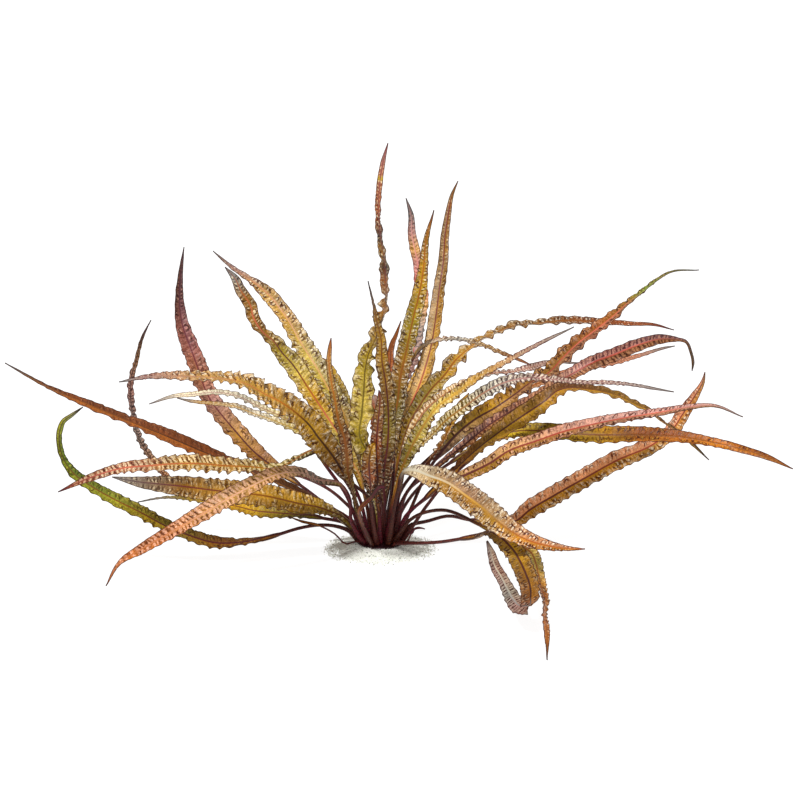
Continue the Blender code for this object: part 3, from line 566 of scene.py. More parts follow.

# %% [markdown]
# ## How each leaf looks
# No two leaves have the same colour. Young ones are salmon and peach, older ones olive
# and gold, and the oldest go rust, mauve and grey from the tip. The tissue puckers up
# between the side veins, 4 to 5 mm apart, and the colour paints the light and shade of
# the puckers: the upper side shows pale hills, partly paler tissue and partly painted
# highlight, with thin dark lines of painted shade between them, and the under side a pale
# net with dark hollows of painted shade. Some leaves also have one half painted lighter
# and the other darker, partly their own colour and partly painted light and shade. A
# leaf's look is written as colours at percentages of its blade, and the mesh carries them
# as attributes, so that one material can finish all the leaves.

# %% Names for the colours of living and ageing leaf
PALETTE = {
    "black_maroon": "#2A0C12", "maroon": "#4C1622", "wine": "#6A2028", "red": "#A03A2C",
    "coral": "#C8604C", "pink": "#CC8880", "dusty": "#A87870", "rose": "#90504E",
    "mauve": "#6E4248", "plum": "#4A3038", "slate": "#56504E", "grey": "#8A8680",
    "dark_green": "#363C2C", "green": "#74902A", "grass": "#98A02C", "yellow": "#C8AC22",
    "gold": "#C49218", "olive": "#988014", "moss": "#6C5C1A", "brown": "#844A14",
    "dark_brown": "#44240F", "rust": "#A2521A", "orange": "#C8701A", "tan": "#C6943A",
    "apricot": "#CA9852", "salmon": "#BC7854", "peach": "#D2A076", "cream": "#EAD8B0",
    "straw": "#CEB24C", "umber": "#8E6018", "silver": "#BEB49C", "blush": "#E0AC94",
    "ivory": "#EEE2C8", "shell": "#F2A470",
}

# Each look: the side shown, the puckers' pitch and height, the ruffles' wave and height
# (mm; several heights run from a quarter of the blade to 85% of it), how strong the pale
# and the dark marks are, the pale marks' colour, the blade's colours and the midrib's.
# Last may come a colour and its strength, washed over the left half, then the right half.
# These washes are partly the half's own colour and partly painted light and shade, where
# one half of the folded blade catches the light and the other is in shade.
LOOKS = {
    "leaf_01": ("upper", 5.0, 0.50, 15, 0.9, 0.15, 0.5, "peach",
        "brown 0, brown 15, rust 35, rust 60, rust 80, brown 92, grey 100",
        "dark_brown 0, dark_brown 50, brown 75, slate 100",
        (("gold", 0.1), ("dark_brown", 0.55))),
    "leaf_02": ("under", 5.2, 1.30, 11, 1.6, 0.85, 0.80, "cream",
        "moss 0, olive 18, tan 36, tan 55, salmon 70, salmon 84, rust 93, wine 100",
        "brown 0, rust 40, coral 75, maroon 100"),
    "leaf_03": ("under", 5.2, 1.50, 12, 0.8, 1.0, 0.75, "blush",
        "olive 0, grey 12, tan 25, apricot 50, orange 75, orange 88, dark_brown 100",
        "dusty 0, blush 30, salmon 75, rust 100"),
    "leaf_04": ("upper", 4.4, 1.20, 9, 1.8, 0.75, 0.75, "cream",
        "moss 0, gold 25, tan 50, umber 72, grey 100",
        "maroon 0, brown 40, wine 70, slate 100"),
    "leaf_05": ("upper", 4.2, 0.70, 9, 1.2, 0.30, 0.60, "straw",
        "moss 0, olive 22, gold 45, olive 75, grey 92, dark_green 100",
        "maroon 0, brown 60, dark_green 100"),
    "leaf_06": ("upper", 4.6, 0.80, 13, 1.1, 0.30, 0.7, "straw",
        "brown 0, brown 20, moss 35, olive 45, grass 60, green 78, grass 92, grey 100",
        "maroon 0, maroon 40, brown 55, dark_green 100",
        (("gold", 0.15), ("dark_green", 0.3))),
    "leaf_07": ("under", 4.2, 0.70, 11, 0.9, 0.60, 0.85, "blush",
        "brown 0, umber 28, grey 45, dusty 65, umber 80, slate 100",
        "maroon 0, dark_brown 50, plum 100"),
    "leaf_08": ("upper", 5.0, 0.90, 13, 1.0, 0.45, 0.80, "blush",
        "gold 0, umber 18, tan 30, dusty 44, salmon 54, rose 66, mauve 78, plum 90, slate 100",
        "black_maroon 0, maroon 30, wine 50, plum 100",
        (("brown", 0.35), ("dusty", 0.2))),
    "leaf_09": ("upper", 5.4, 1.70, 11, (3.4, 1.8), 1.0, 0.90, "ivory",
        "brown 0, umber 14, gold 28, tan 42, tan 58, apricot 74, dusty 92, slate 100",
        "black_maroon 0, dark_brown 32, orange 44, salmon 65, grey 100"),
    "leaf_10": ("under", 4.0, 0.70, 8, 0.8, 0.60, 0.35, "ivory",
        "olive 0, straw 25, silver 50, cream 80, grey 100",
        "umber 0, dusty 60, grey 100"),
    "leaf_11": ("under", 4.0, 0.60, 8, 0.7, 0.60, 0.40, "ivory",
        "olive 0, straw 25, silver 50, tan 85, grey 100",
        "olive 0, tan 60, grey 100"),
    "leaf_12": ("upper", 4.4, 1.10, 14, (1.0, 2.0), 0.90, 0.80, "cream",
        "gold 0, straw 20, gold 38, straw 50, olive 60, umber 70, umber 86, grey 95, slate 100",
        "apricot 0, coral 30, rust 42, maroon 52, maroon 62, coral 74, rust 88, slate 100"),
    "leaf_13": ("upper", 4.4, 1.20, 12, 1.6, 1.0, 0.95, "ivory",
        "moss 0, gold 18, olive 34, straw 50, tan 64, tan 78, dusty 90, slate 100",
        "brown 0, apricot 35, peach 60, salmon 80, slate 100",
        (("straw", 0.1), ("grey", 0.25))),
    "leaf_14": ("upper", 4.2, 0.80, 10, 0.9, 0.75, 0.85, "cream",
        "moss 0, umber 25, brown 45, umber 60, tan 74, apricot 90, rust 100",
        "maroon 0, brown 40, orange 80, rust 100"),
    "leaf_15": ("upper", 4.8, 1.20, 19, (1.8, 3.4, 1.0), 0.80, 0.90, "cream",
        "moss 0, olive 8, yellow 18, olive 26, straw 34, olive 44, umber 56, brown 66,"
        "dark_brown 69, umber 73, dark_brown 77, rust 83, salmon 90, yellow 91, salmon 92,"
        "dusty 97, wine 100",
        "black_maroon 0, moss 30, dark_brown 50, wine 80, rose 100"),
    "leaf_16": ("upper", 4.2, 1.20, 9, 1.3, 1.0, 0.80, "cream",
        "dark_brown 0, brown 20, olive 38, umber 52, gold 72, umber 88, slate 100",
        "maroon 0, wine 30, maroon 55, brown 75, slate 100"),
    "leaf_17": ("upper", 4.0, 0.40, 12, 0.5, 0.30, 0.60, "peach",
        "umber 0, brown 35, rust 65, brown 100",
        "maroon 0, maroon 60, brown 100"),
    "leaf_18": ("upper", 4.0, 1.20, 9, 1.2, 1.0, 0.85, "ivory",
        "dark_brown 0, brown 15, moss 32, umber 46, olive 62, gold 80, umber 95, slate 100",
        "dark_brown 0, brown 30, brown 60, rust 80, brown 100"),
    "leaf_19": ("under", 4.4, 0.80, 10, 1.1, 0.50, 0.50, "blush",
        "tan 0, dusty 40, grey 55, tan 64, coral 71, pink 78, tan 82, dusty 88, slate 94, slate 100",
        "maroon 0, coral 50, pink 85, slate 100"),
    "leaf_20": ("upper", 4.2, 0.40, 16, 0.5, 0.45, 0.65, "cream",
        "straw 0, tan 20, tan 45, umber 62, umber 78, brown 92, moss 97, slate 100",
        "pink 0, coral 22, red 36, wine 46, wine 90, brown 100",
        (("cream", 0.15), ("gold", 0.1))),
    "leaf_21": ("under", 4.0, 0.50, 9, 1.1, 0.60, 0.80, "ivory",
        "silver 0, peach 20, grey 40, tan 60, brown 85, rust 100",
        "tan 0, silver 25, slate 45, brown 100"),
    "leaf_22": ("upper", 4.4, 0.90, 20, (3.0, 1.8, 0.8), 1.0, 0.85, "ivory",
        "gold 0, gold 10, straw 20, gold 30, tan 40, umber 49, umber 58, brown 70,"
        "rust 85, brown 100",
        "brown 0, rust 40, brown 70, wine 100"),
    "leaf_23": ("upper", 4.2, 1.20, 9, 1.3, 0.95, 1.0, "ivory",
        "gold 0, olive 18, straw 36, tan 60, dusty 85, grey 100",
        "brown 0, tan 50, grey 100"),
    "leaf_24": ("under", 4.2, 0.80, 10, 1.2, 0.80, 0.70, "ivory",
        "olive 0, tan 25, apricot 42, dusty 60, dusty 80, grey 100",
        "brown 0, salmon 60, grey 100"),
    "leaf_25": ("upper", 5.2, 1.10, 17, (4.4, 2.2, 0.8), 0.60, 1.0, "peach",
        "dark_brown 0, moss 10, gold 22, umber 32, umber 44, brown 54, rust 64, umber 75,"
        "green 81, moss 90, dark_green 100",
        "black_maroon 0, maroon 34, red 46, coral 56, coral 74, green 81, dark_green 100",
        (("umber", 0.2), ("dusty", 0.25))),
    "leaf_26": ("under", 4.0, 0.90, 8, 1.3, 0.85, 0.95, "ivory",
        "olive 0, gold 14, straw 26, olive 38, grey 50, dusty 62, dusty 80, grey 100",
        "brown 0, umber 30, dusty 60, grey 100"),
    "leaf_27": ("under", 4.2, 0.80, 12, 1.0, 0.40, 0.75, "peach",
        "dark_brown 0, dark_brown 22, brown 36, umber 46, dusty 56, rose 68, mauve 78, plum 88,"
        "dark_green 95, slate 100",
        "black_maroon 0, maroon 45, red 60, coral 75, dark_green 92, dark_green 100",
        (("pink", 0.25), ("brown", 0.85))),
    "leaf_28": ("under", 4.2, 0.50, 10, 0.7, 0.40, 0.50, "blush",
        "olive 0, salmon 40, salmon 80, grey 100", "brown 0, rust 60, grey 100"),
    "leaf_29": ("upper", 4.6, 0.80, 16, 1.3, 0.45, 0.60, "peach",
        "brown 0, orange 12, gold 26, gold 40, brown 52, umber 60, gold 70, brown 90,"
        "dark_green 100",
        "black_maroon 0, maroon 45, brown 70, dark_green 100",
        (("dark_brown", 0.6), ("gold", 0.45))),
    "leaf_30": ("upper", 4.4, 1.00, 10, 0.5, 0.80, 1.0, "blush",
        "olive 0, gold 14, tan 26, salmon 42, dusty 58, pink 75, dusty 88, grey 100",
        "maroon 0, wine 20, red 42, red 55, coral 75, grey 100",
        (("blush", 0.35), ("umber", 0.65))),
    "leaf_31": ("upper", 3.8, 1.60, 10, 1.4, 1.0, 1.0, "ivory",
        "grey 0, silver 8, umber 20, brown 38, umber 54, orange 76, rust 100",
        "silver 0, silver 18, tan 36, umber 55, rust 75, rust 100",
        (("cream", 0.15), ("gold", 0.35))),
    "leaf_32": ("upper", 4.8, 0.90, 14, 1.0, 0.40, 0.90, "silver",
        "brown 0, umber 12, gold 25, umber 38, brown 53, dusty 60, grey 70,"
        "dusty 84, grey 100",
        "maroon 0, maroon 25, black_maroon 52, grey 62, silver 85, plum 100",
        (("gold", 0.15), ("dark_brown", 0.25))),
    "leaf_33": ("upper", 4.4, 1.30, 11, 1.4, 0.90, 0.80, "cream",
        "gold 0, tan 15, straw 35, orange 55, orange 80, brown 92, dark_brown 100",
        "brown 0, rust 50, brown 100"),
    "leaf_34": ("upper", 4.6, 1.00, 12, 0.7, 0.85, 0.80, "ivory",
        "gold 0, orange 18, orange 40, orange 54, salmon 70, coral 84, coral 94, slate 100",
        "wine 0, maroon 35, red 65, wine 90, slate 100",
        (("shell", 0.75), ("gold", 0.6))),
    "leaf_35": ("upper", 5.2, 0.70, 13, 0.7, 0.30, 0.85, "straw",
        "olive 0, yellow 18, olive 30, gold 42, rust 54, rust 66, orange 78, rust 90,"
        "brown 100",
        "dark_brown 0, brown 40, brown 60, brown 100", (("brown", 0.3), ("gold", 0.15))),
    "leaf_36": ("upper", 3.8, 0.80, 7, 2.0, 0.80, 0.80, "ivory",
        "brown 0, umber 40, gold 75, tan 100", "maroon 0, brown 60, tan 100"),
    "leaf_37": ("upper", 4.4, 0.90, 7, 2.4, 0.85, 0.85, "ivory",
        "brown 0, brown 35, rust 60, umber 85, brown 100",
        "black_maroon 0, maroon 50, wine 100"),
    "leaf_38": ("upper", 3.6, 0.30, 8, 0.4, 0.15, 0.60, "peach",
        "dark_brown 0, brown 40, dark_brown 75, maroon 100", "maroon 0, maroon 100"),
    "leaf_39": ("upper", 3.6, 0.10, 8, 0.1, 0.05, 0.10, "peach",
        "maroon 0, wine 60, dusty 100", "maroon 0, wine 100"),
    "leaf_40": ("upper", 3.6, 0.10, 8, 0.1, 0.05, 0.10, "peach",
        "moss 0, brown 60, grey 100", "brown 0, brown 100"),
    "leaf_41": ("upper", 4.6, 1.00, 12, 1.4, 0.50, 0.65, "cream",
        "moss 0, olive 40, gold 80, grey 100", "maroon 0, brown 60, grey 100"),
    "leaf_42": ("upper", 4.6, 1.00, 12, 1.4, 0.50, 0.65, "cream",
        "olive 0, gold 40, tan 80, grey 100", "maroon 0, rust 60, grey 100"),
    "leaf_43": ("upper", 4.8, 0.90, 13, 1.2, 0.40, 0.65, "peach",
        "moss 0, brown 30, rust 70, grey 100", "maroon 0, brown 60, grey 100"),
    "leaf_44": ("upper", 4.4, 0.90, 11, 1.3, 0.50, 0.65, "straw",
        "moss 0, olive 50, brown 85, grey 100", "maroon 0, brown 60, grey 100"),
    "leaf_45": ("upper", 4.4, 1.00, 11, 1.3, 0.55, 0.65, "blush",
        "olive 0, tan 40, salmon 80, grey 100", "maroon 0, salmon 60, grey 100"),
    "leaf_46": ("upper", 4.0, 1.10, 6, 3.4, 0.95, 0.95, "ivory",
        "dark_brown 0, brown 30, rust 50, umber 80, gold 100",
        "maroon 0, maroon 60, dark_brown 80, brown 100"),
}

FIELDS = "side pitch relief wave ruffle pale dark crest tint rib halves"
Look = collections.namedtuple("Look", FIELDS, defaults=[()])
looks = {name: Look(*row) for name, row in LOOKS.items()}


def colours_along(text, share):
    """Linear colours at these shares of the blade, read from words like "olive 0, rust 40"."""
    words = [word.split() for word in text.split(",")]
    at = [float(percent) / 100 for _, percent in words]
    stops = np.array([linear(PALETTE[name]) for name, _ in words])
    return np.stack([np.interp(share, at, stops[:, k]) for k in range(4)], axis=1)


print("looks:", len(looks), "palette:", len(PALETTE))

# %% [markdown]
# ## The leaf as a swept sheet
# The sheet has two faces half a millimetre apart. Across it run points that crowd towards
# the ruffled edges, and along the blade a station every 1.16 mm. On the stalk the points
# close into a round section. The blade is channelled, its two halves pucker up between
# the side veins, and its edges ruffle. A displacement texture could do that, but then the
# puckers wouldn't follow the veins, so they are worked out along and across.

# %% Stations, frames and the blade's own width
BLADE_STEP = 1.16
PETIOLE_STEP = 6.0
LAST_STEP = 0.3
ACROSS = np.array([-1, -0.95, -0.86, -0.74, -0.62, -0.5, -0.38, -0.26, -0.15, -0.06])
ACROSS = np.concatenate([ACROSS, -ACROSS[::-1]])
TIP_WIDTH = 1.2
BLADE_RISE = 0.22
BLADE_TAPER = 0.45
WIDTH_CURVE = 0.8
MOST_ROLL = math.radians(80)


def blade_width(share, full):
    """The blade's own width, by the share of its length from its foot to its tip."""
    foot = np.minimum(1.0, np.maximum(share, 0) / BLADE_RISE) ** WIDTH_CURVE
    tip = np.minimum(1.0, np.maximum(1 - share, 0) / BLADE_TAPER) ** WIDTH_CURVE
    return np.maximum(TIP_WIDTH, PETIOLE_WIDTH + (full - PETIOLE_WIDTH) * foot) * tip


def unit(vectors):
    """The same directions with length one."""
    return vectors / np.linalg.norm(vectors, axis=1)[:, None]


def leaf_frames(name):
    """For each station: middle, side and face directions, width, share of the blade and
    length from the base. Where a blade is wider than it looks in the picture, it is
    rolled about its middle line until it looks only that wide."""
    _, full, route = LEAVES[name]
    line, seen, even, start = leaf_line(bases[name], route)
    total = even[-1]
    stalk_steps = np.arange(0, start, PETIOLE_STEP)
    blade_steps = np.arange(start, total - LAST_STEP, BLADE_STEP)
    steps = np.concatenate([stalk_steps, blade_steps, [total]])
    tangents = np.gradient(line, axis=0)
    middle = np.stack([np.interp(steps, even, line[:, k]) for k in range(3)], axis=1)
    along = unit(np.stack([np.interp(steps, even, tangents[:, k]) for k in range(3)], axis=1))
    seen = np.interp(steps, even, seen)
    share = (steps - start) / (total - start)
    side = unit(np.cross(along, TO_VIEWER))
    lean = 1 if side[share > 0][:, 2].sum() >= 0 else -1
    own_width = np.maximum(np.maximum(blade_width(share, full), seen), TIP_WIDTH)
    width = np.where(share > 0, own_width, seen)
    roll = np.minimum(MOST_ROLL, np.arccos(np.clip(seen / width, 0, 1)))
    roll = np.where(share > 0, roll, 0.0)[:, None]
    towards = unit(np.cross(side, along))
    across = side * np.cos(roll) - towards * lean * np.sin(roll)
    if name == FOLDED_LEAF:
        across = np.tile(FOLD_LINE, (len(steps), 1))
    across = unit(across - along * (across * along).sum(axis=1)[:, None])
    face = np.cross(across, along)
    return middle, across, face, width, share, steps


widths = [round(float(blade_width(np.array([at]), 24.0)[0]), 1) for at in (0, 0.25, 0.5, 0.75)]
print("a 24 mm blade at its foot, quarter, half and three quarters:", widths, "mm")

# %% Uneven rhythms, which differ from one half of a blade to the other
SPARE_MARKS = 60
EARLY_MARKS = 20


def step_between(low, high, value):
    """0 below low, 1 above high, and a smooth step between."""
    t = np.clip((value - low) / (high - low), 0, 1)
    return t * t * (3 - 2 * t)


def uneven_count(chance, size, spread, reach):
    """Counts up by one for each length of about this size, read at any length."""
    count = int(reach / size) + SPARE_MARKS
    marks = np.cumsum(size * chance.uniform(1 - spread, 1 + spread, count))
    return lambda at: np.interp(at, marks - EARLY_MARKS * size, np.arange(count))


def uneven_level(chance, size, low, high, reach):
    """A level that wanders between low and high, with a new value for each such length."""
    values = chance.uniform(low, high, int(reach / size) + SPARE_MARKS)
    marks = np.arange(len(values)) * size - EARLY_MARKS * size
    return lambda at: np.interp(at, marks, values)


def both_halves(make, at):
    """Values for the left and the right half of the blade, each from its own chances."""
    left, right = make()(at), make()(at)
    return np.where(ACROSS[None, :] < 0, left, right)


sample = uneven_count(np.random.default_rng(1), 5.0, 0.45, 100.0)(np.array([0.0, 50.0, 100.0]))
print("puckers counted at 0, 50 and 100 mm:", [round(float(n), 1) for n in sample])

# %% Puckers between the side veins
VEIN_SLANT = 0.35
PUCKER_SPREAD = 0.45
PUCKER_SIZES = (0.25, 1.5)


def puckers(look, chance, steps, width, share):
    """Height of the puckers (mm), and which pucker each point is on, as a running count."""
    reach = steps[-1]
    out = np.abs(ACROSS)[None, :]
    at = steps[:, None] - VEIN_SLANT * out * width[:, None] / 2
    lane = both_halves(lambda: uneven_count(chance, look.pitch, PUCKER_SPREAD, reach), at)
    mound = np.abs(np.sin(math.pi * lane)) ** 0.8
    size = both_halves(lambda: uneven_level(chance, look.pitch * 0.9, *PUCKER_SIZES, reach), at)
    zone = step_between(0.05, 0.22, out) * (1 - 0.55 * step_between(0.85, 1.0, out))
    ends = step_between(0, 0.08, share) * (1 - step_between(0.93, 1.0, share))
    ends = (ends * np.minimum(1, width / 10))[:, None]
    height = look.relief * size * (mound - 0.5) * zone * ends
    return height if look.side == "upper" else -height, lane, ends


pitches = [look.pitch for look in looks.values()]
print("side veins every", min(pitches), "to", max(pitches), "mm")

# %% Ruffled and toothed edges
RUFFLE_SPREAD = 0.4
RUFFLE_SIZES = (0.3, 1.5)
RUFFLES_FROM, RUFFLES_TO = 0.25, 0.85


def ruffles(look, chance, steps, width, share, lane):
    """How far the edges wave up and down (mm), how far in and out as a share of the width,
    and how far up or down a point is on its wave."""
    wave, height, reach = look.wave, look.ruffle, steps[-1]
    if isinstance(height, tuple):
        stretches = np.linspace(RUFFLES_FROM, RUFFLES_TO, len(height))
        height = np.interp(share, stretches, height)[:, None]
    at = steps[:, None] + 0 * ACROSS[None, :]
    turn = both_halves(lambda: uneven_count(chance, wave, RUFFLE_SPREAD, reach), at) * math.tau
    size = both_halves(lambda: uneven_level(chance, wave * 0.8, *RUFFLE_SIZES, reach), at)
    lift = np.sin(turn) + 0.35 * np.sin(2 * turn + 1)
    ends = step_between(0, 0.10, share) * (1 - step_between(0.9, 1.0, share))
    ends = (ends * (width / width[share > 0].max()) ** 1.3)[:, None]
    edge = np.abs(ACROSS)[None, :] ** 2.2
    tooth = both_halves(lambda: uneven_level(chance, wave * 0.3, -0.3, 1.0, reach), at)
    teeth = 0.12 * tooth * (np.abs(np.sin(math.pi * lane)) - 0.6) + 0.07 * size * np.cos(turn + 1)
    fold = size * lift * edge * ends
    return height * fold, 1 + teeth * ends * edge, fold


waves = [look.wave for look in looks.values()]
print("ruffles every", min(waves), "to", max(waves), "mm")

# %% Points round each section, and the marks they carry
CHANNEL_SHARE = 0.10
SHEET_THICKNESS = 0.5
RIB_RISE = 0.45
RIB_REACH = 0.9
EDGE_ANGLE = math.radians(8)
SHEATH_FLARE = 0.8
SHEATH_LENGTH = 22.0


def section_points(name, frames, height, wave, scallop):
    """Points of the sheet, station by station, over its upper face and back below it."""
    middle, side, face, width, share, steps = frames
    half = width[:, None] / 2
    flat = np.clip(share / BLADE_RISE * 2, 0, 1)[:, None]
    out = np.abs(ACROSS)[None, :]
    level = CHANNEL_SHARE * width[:, None] * out**1.5 + height + wave
    rib = RIB_RISE * np.minimum(1, width[:, None] / 8) * np.exp(-((out * half / RIB_REACH) ** 2))
    thick = SHEET_THICKNESS / 2 * np.minimum(1, width[:, None] / 3)
    angle = EDGE_ANGLE + (math.pi - 2 * EDGE_ANGLE) * (1 - ACROSS[None, :]) / 2
    sheath = 1 + SHEATH_FLARE * np.exp(-((steps[:, None] / SHEATH_LENGTH) ** 2))
    sheath = np.minimum(sheath, LEAVES[name][1] / 6)
    round_x = half * sheath * np.cos(angle)
    round_y = half * np.sin(angle)
    x = flat * half * ACROSS[None, :] * scallop + (1 - flat) * round_x
    top = flat * (level + thick + rib) + (1 - flat) * round_y
    low = flat * (level - thick - 1.6 * rib) - (1 - flat) * round_y
    x = np.concatenate([x, x[:, ::-1]], axis=1)
    y = np.concatenate([top, low[:, ::-1]], axis=1)
    return middle[:, None] + side[:, None] * x[..., None] + face[:, None] * y[..., None]


def both_faces(values):
    """Values over the upper face, and the same ones back below it."""
    return np.concatenate([values, values[:, ::-1]], axis=1)


def leaf_points(name, look, chance):
    """A leaf's points, and the numbers and the colours that they carry."""
    frames = leaf_frames(name)
    width, share, steps = frames[3:]
    half = width[:, None] / 2
    height, lane, ends = puckers(look, chance, steps, width, share)
    wave, scallop, fold = ruffles(look, chance, steps, width, share, lane)
    points = section_points(name, frames, height, wave, scallop)
    ring = np.ones((len(steps), 2 * len(ACROSS)))
    on_blade = np.clip(share, 0, 1)
    faces_viewer = np.repeat([1.0, 0.0], len(ACROSS))[None, :] * ring
    marks = {
        "across_mm": both_faces(half * ACROSS[None, :]),
        "half_mm": half * ring,
        "along_mm": steps[:, None] * ring,
        "rib_mm": (0.5 + 0.65 * (1 - on_blade))[:, None] * ring,
        "lane": both_faces(lane),
        # How far up or down on its ruffle a point is; the finish paints highlight on the crests and
        # shade in the troughs from it.
        "fold": both_faces(fold),
        "upper": faces_viewer if look.side == "upper" else 1 - faces_viewer,
        # How strong the pale marks (partly painted highlight) and the dark marks (painted shade)
        # are.
        "pale": look.pale * ends * ring,
        "dark": look.dark * ends * ring,
        "pitch_mm": look.pitch * ring,
        "blade": np.clip(share * 12 + 0.5, 0, 1)[:, None] * ring,
        "stalk_age": chance.uniform(0, 1) * ring,
    }
    tint = colours_along(look.tint, on_blade)[:, None] * ring[..., None]
    right = step_between(-0.12, 0.12, ACROSS)[None, :] * ring[:, : len(ACROSS)]
    right = both_faces(right)[..., None]
    # Washes each half with its own colour: partly that half's tint and partly painted light and
    # shade, one half lit and the other shaded.
    for (half_tint_and_shade, strength), here in zip(look.halves, (1 - right, right)):
        tint += here * strength * (np.array(linear(PALETTE[half_tint_and_shade])) - tint)
    rib_tint = colours_along(look.rib, on_blade)[:, None] * ring[..., None]
    pale_tint = 0.3 * tint + 0.7 * np.array(linear(PALETTE[look.crest]))
    return points, marks, {"tint": tint, "rib_tint": rib_tint, "pale_tint": pale_tint}


print("points round each section:", 2 * len(ACROSS))

# %% A closed mesh, and a flat map of its strip
def tube_faces(rings, sides):
    """Four-sided faces between rings of points, and one face over each end."""
    i = np.arange(rings - 1)[:, None] * sides
    j = np.arange(sides)[None, :]
    k = (j + 1) % sides
    walls = np.stack([i + j, i + k, i + sides + k, i + sides + j], axis=-1).reshape(-1, 4)
    last = (rings - 1) * sides
    return walls.tolist() + [list(range(sides - 1, -1, -1)), list(range(last, last + sides))]


def strip_map(stations, ring, length, girth):
    """Where each corner of each face lies on a flat map: the strip cut into rows."""
    rows = max(1, round(math.sqrt(length / girth)))
    per_row = math.ceil((stations - 1) / rows)
    i = np.arange(stations - 1)[:, None]
    j = np.arange(ring)[None, :]
    row = i // per_row
    left = (i % per_row) / per_row * 0.996 + 0.002 + 0 * j
    right = (i % per_row + 1) / per_row * 0.996 + 0.002 + 0 * j
    low = (row + 0.01 + 0.98 * j / ring) / rows
    high = (row + 0.01 + 0.98 * (j + 1) / ring) / rows
    u = np.stack([left, left, right, right], axis=-1)
    v = np.stack([low, high, high, low], axis=-1)
    return np.stack([u, v], axis=-1).reshape(-1, 2)


def new_mesh(name, points, faces):
    """A mesh from points in millimetres and faces."""
    mesh = bpy.data.meshes.new(name)
    mesh.from_pydata((points.reshape(-1, 3) * MM).tolist(), [], faces)
    return mesh


def carry(mesh, marks, kind="FLOAT", field="value"):
    """Gives each point of the mesh its numbers, or its colours."""
    for title, values in marks.items():
        layer = mesh.attributes.new(title, kind, "POINT")
        layer.data.foreach_set(field, values.reshape(-1).astype(np.float32))


def sheet_mesh(name, points, marks, colours, length, girth):
    """The mesh through the sections, closed at both ends, with its marks and its map."""
    stations, ring = points.shape[:2]
    mesh = new_mesh(name, points, tube_faces(stations, ring))
    carry(mesh, marks)
    carry(mesh, colours, "FLOAT_COLOR", "color")
    chart = mesh.uv_layers.new(name="OFBake")
    corners = np.full((len(mesh.loops), 2), 0.001)
    corners[: (stations - 1) * ring * 4] = strip_map(stations, ring, length, girth)
    chart.data.foreach_set("uv", corners.reshape(-1).astype(np.float32))
    mesh.shade_smooth()
    return mesh


print("faces of a leaf with 300 stations:", len(tube_faces(300, 2 * len(ACROSS))))

# %% [markdown]
# ## The leaf's finish
# A leaf blade is a thin tissue under a wet waxy skin: satin, with soft highlights on
# each pucker. Wet plant skin has an IOR near 1.4 and a roughness of about 0.4. The
# colour has layers: the tint of that part of the blade, pale hills (a pale net over the
# veins on the under side), dark lines and arches (dark hollows on the under side), pale
# ruffle crests and dark ruffle troughs, the midrib, and a thin dark rim. The pale hills
# and net are partly the tissue's paler colour and partly painted highlight, the ruffle
# crests are painted highlight, and the dark lines, arches, hollows and troughs are
# painted shade in the creases, under the hills and under the ruffles. Fine mottling, 1 to
# 2 mm, stands for the smallest veins, and the stalks run from wine red to brown with age.
# An image texture would need a drawing of every leaf, so the layers are worked out from
# the numbers that the mesh carries, which also keeps them on the veins.

# %% What the mesh carries, and noises that follow the blade
NUMBERS = ("across_mm", "half_mm", "along_mm", "rib_mm", "pitch_mm", "lane", "fold",
           "upper", "pale", "dark", "blade", "stalk_age")
TINTS = ("tint", "rib_tint", "pale_tint")
SMOOTH = "MapRange SMOOTHSTEP"


def blade_marks(put):
    """The mesh's numbers and colours, four noises and a point's place across its blade.
    The noises' scales are per millimetre: bends 3 mm, mottling 1.4 mm, blots 14 mm, and
    flecks 1.3 mm along the blade by 3.6 mm across it."""
    m = {name: put("Attribute " + name, out="Fac") for name in NUMBERS}
    m.update({name: put("Attribute " + name, out="Color") for name in TINTS})
    spot = put("CombineXYZ", m["along_mm"], m["across_mm"], m["half_mm"])
    slim = put("CombineXYZ", m["along_mm"], put("Math MULTIPLY", m["across_mm"], 0.35), 7.0)
    m["bends"] = put("TexNoise", Vector=spot, Scale=0.30, Detail=2.0)
    m["veins"] = put("TexNoise", Vector=spot, Scale=0.7, Detail=4.0, Roughness=0.7)
    m["blots"] = put("TexNoise", Vector=spot, Scale=0.07, Detail=2.0)
    m["flecks"] = put("TexNoise", Vector=slim, Scale=0.8, Detail=2.0)
    m["off_rib"] = put("Math ABSOLUTE", m["across_mm"])
    m["past_rib"] = put("Math SUBTRACT", m["off_rib"], m["rib_mm"])
    m["from_edge"] = put("Math SUBTRACT", m["half_mm"], m["off_rib"])
    m["out"] = put("Math DIVIDE", m["off_rib"], m["half_mm"])
    return m


print("numbers:", len(NUMBERS), "colours:", len(TINTS), "at each point of a leaf")

# %% Each vein's and each hill's own luck
HALVES_APART = 137.0
MIDDLES = (("line", "ROUND", 0.34, 0.6), ("hill", "FLOOR", 0.45, 0.9))
SHADOW_ARCH_MIDDLES = (0.3, 0.5)
SHADOW_ARCH_RADII = (1.1, 1.8)


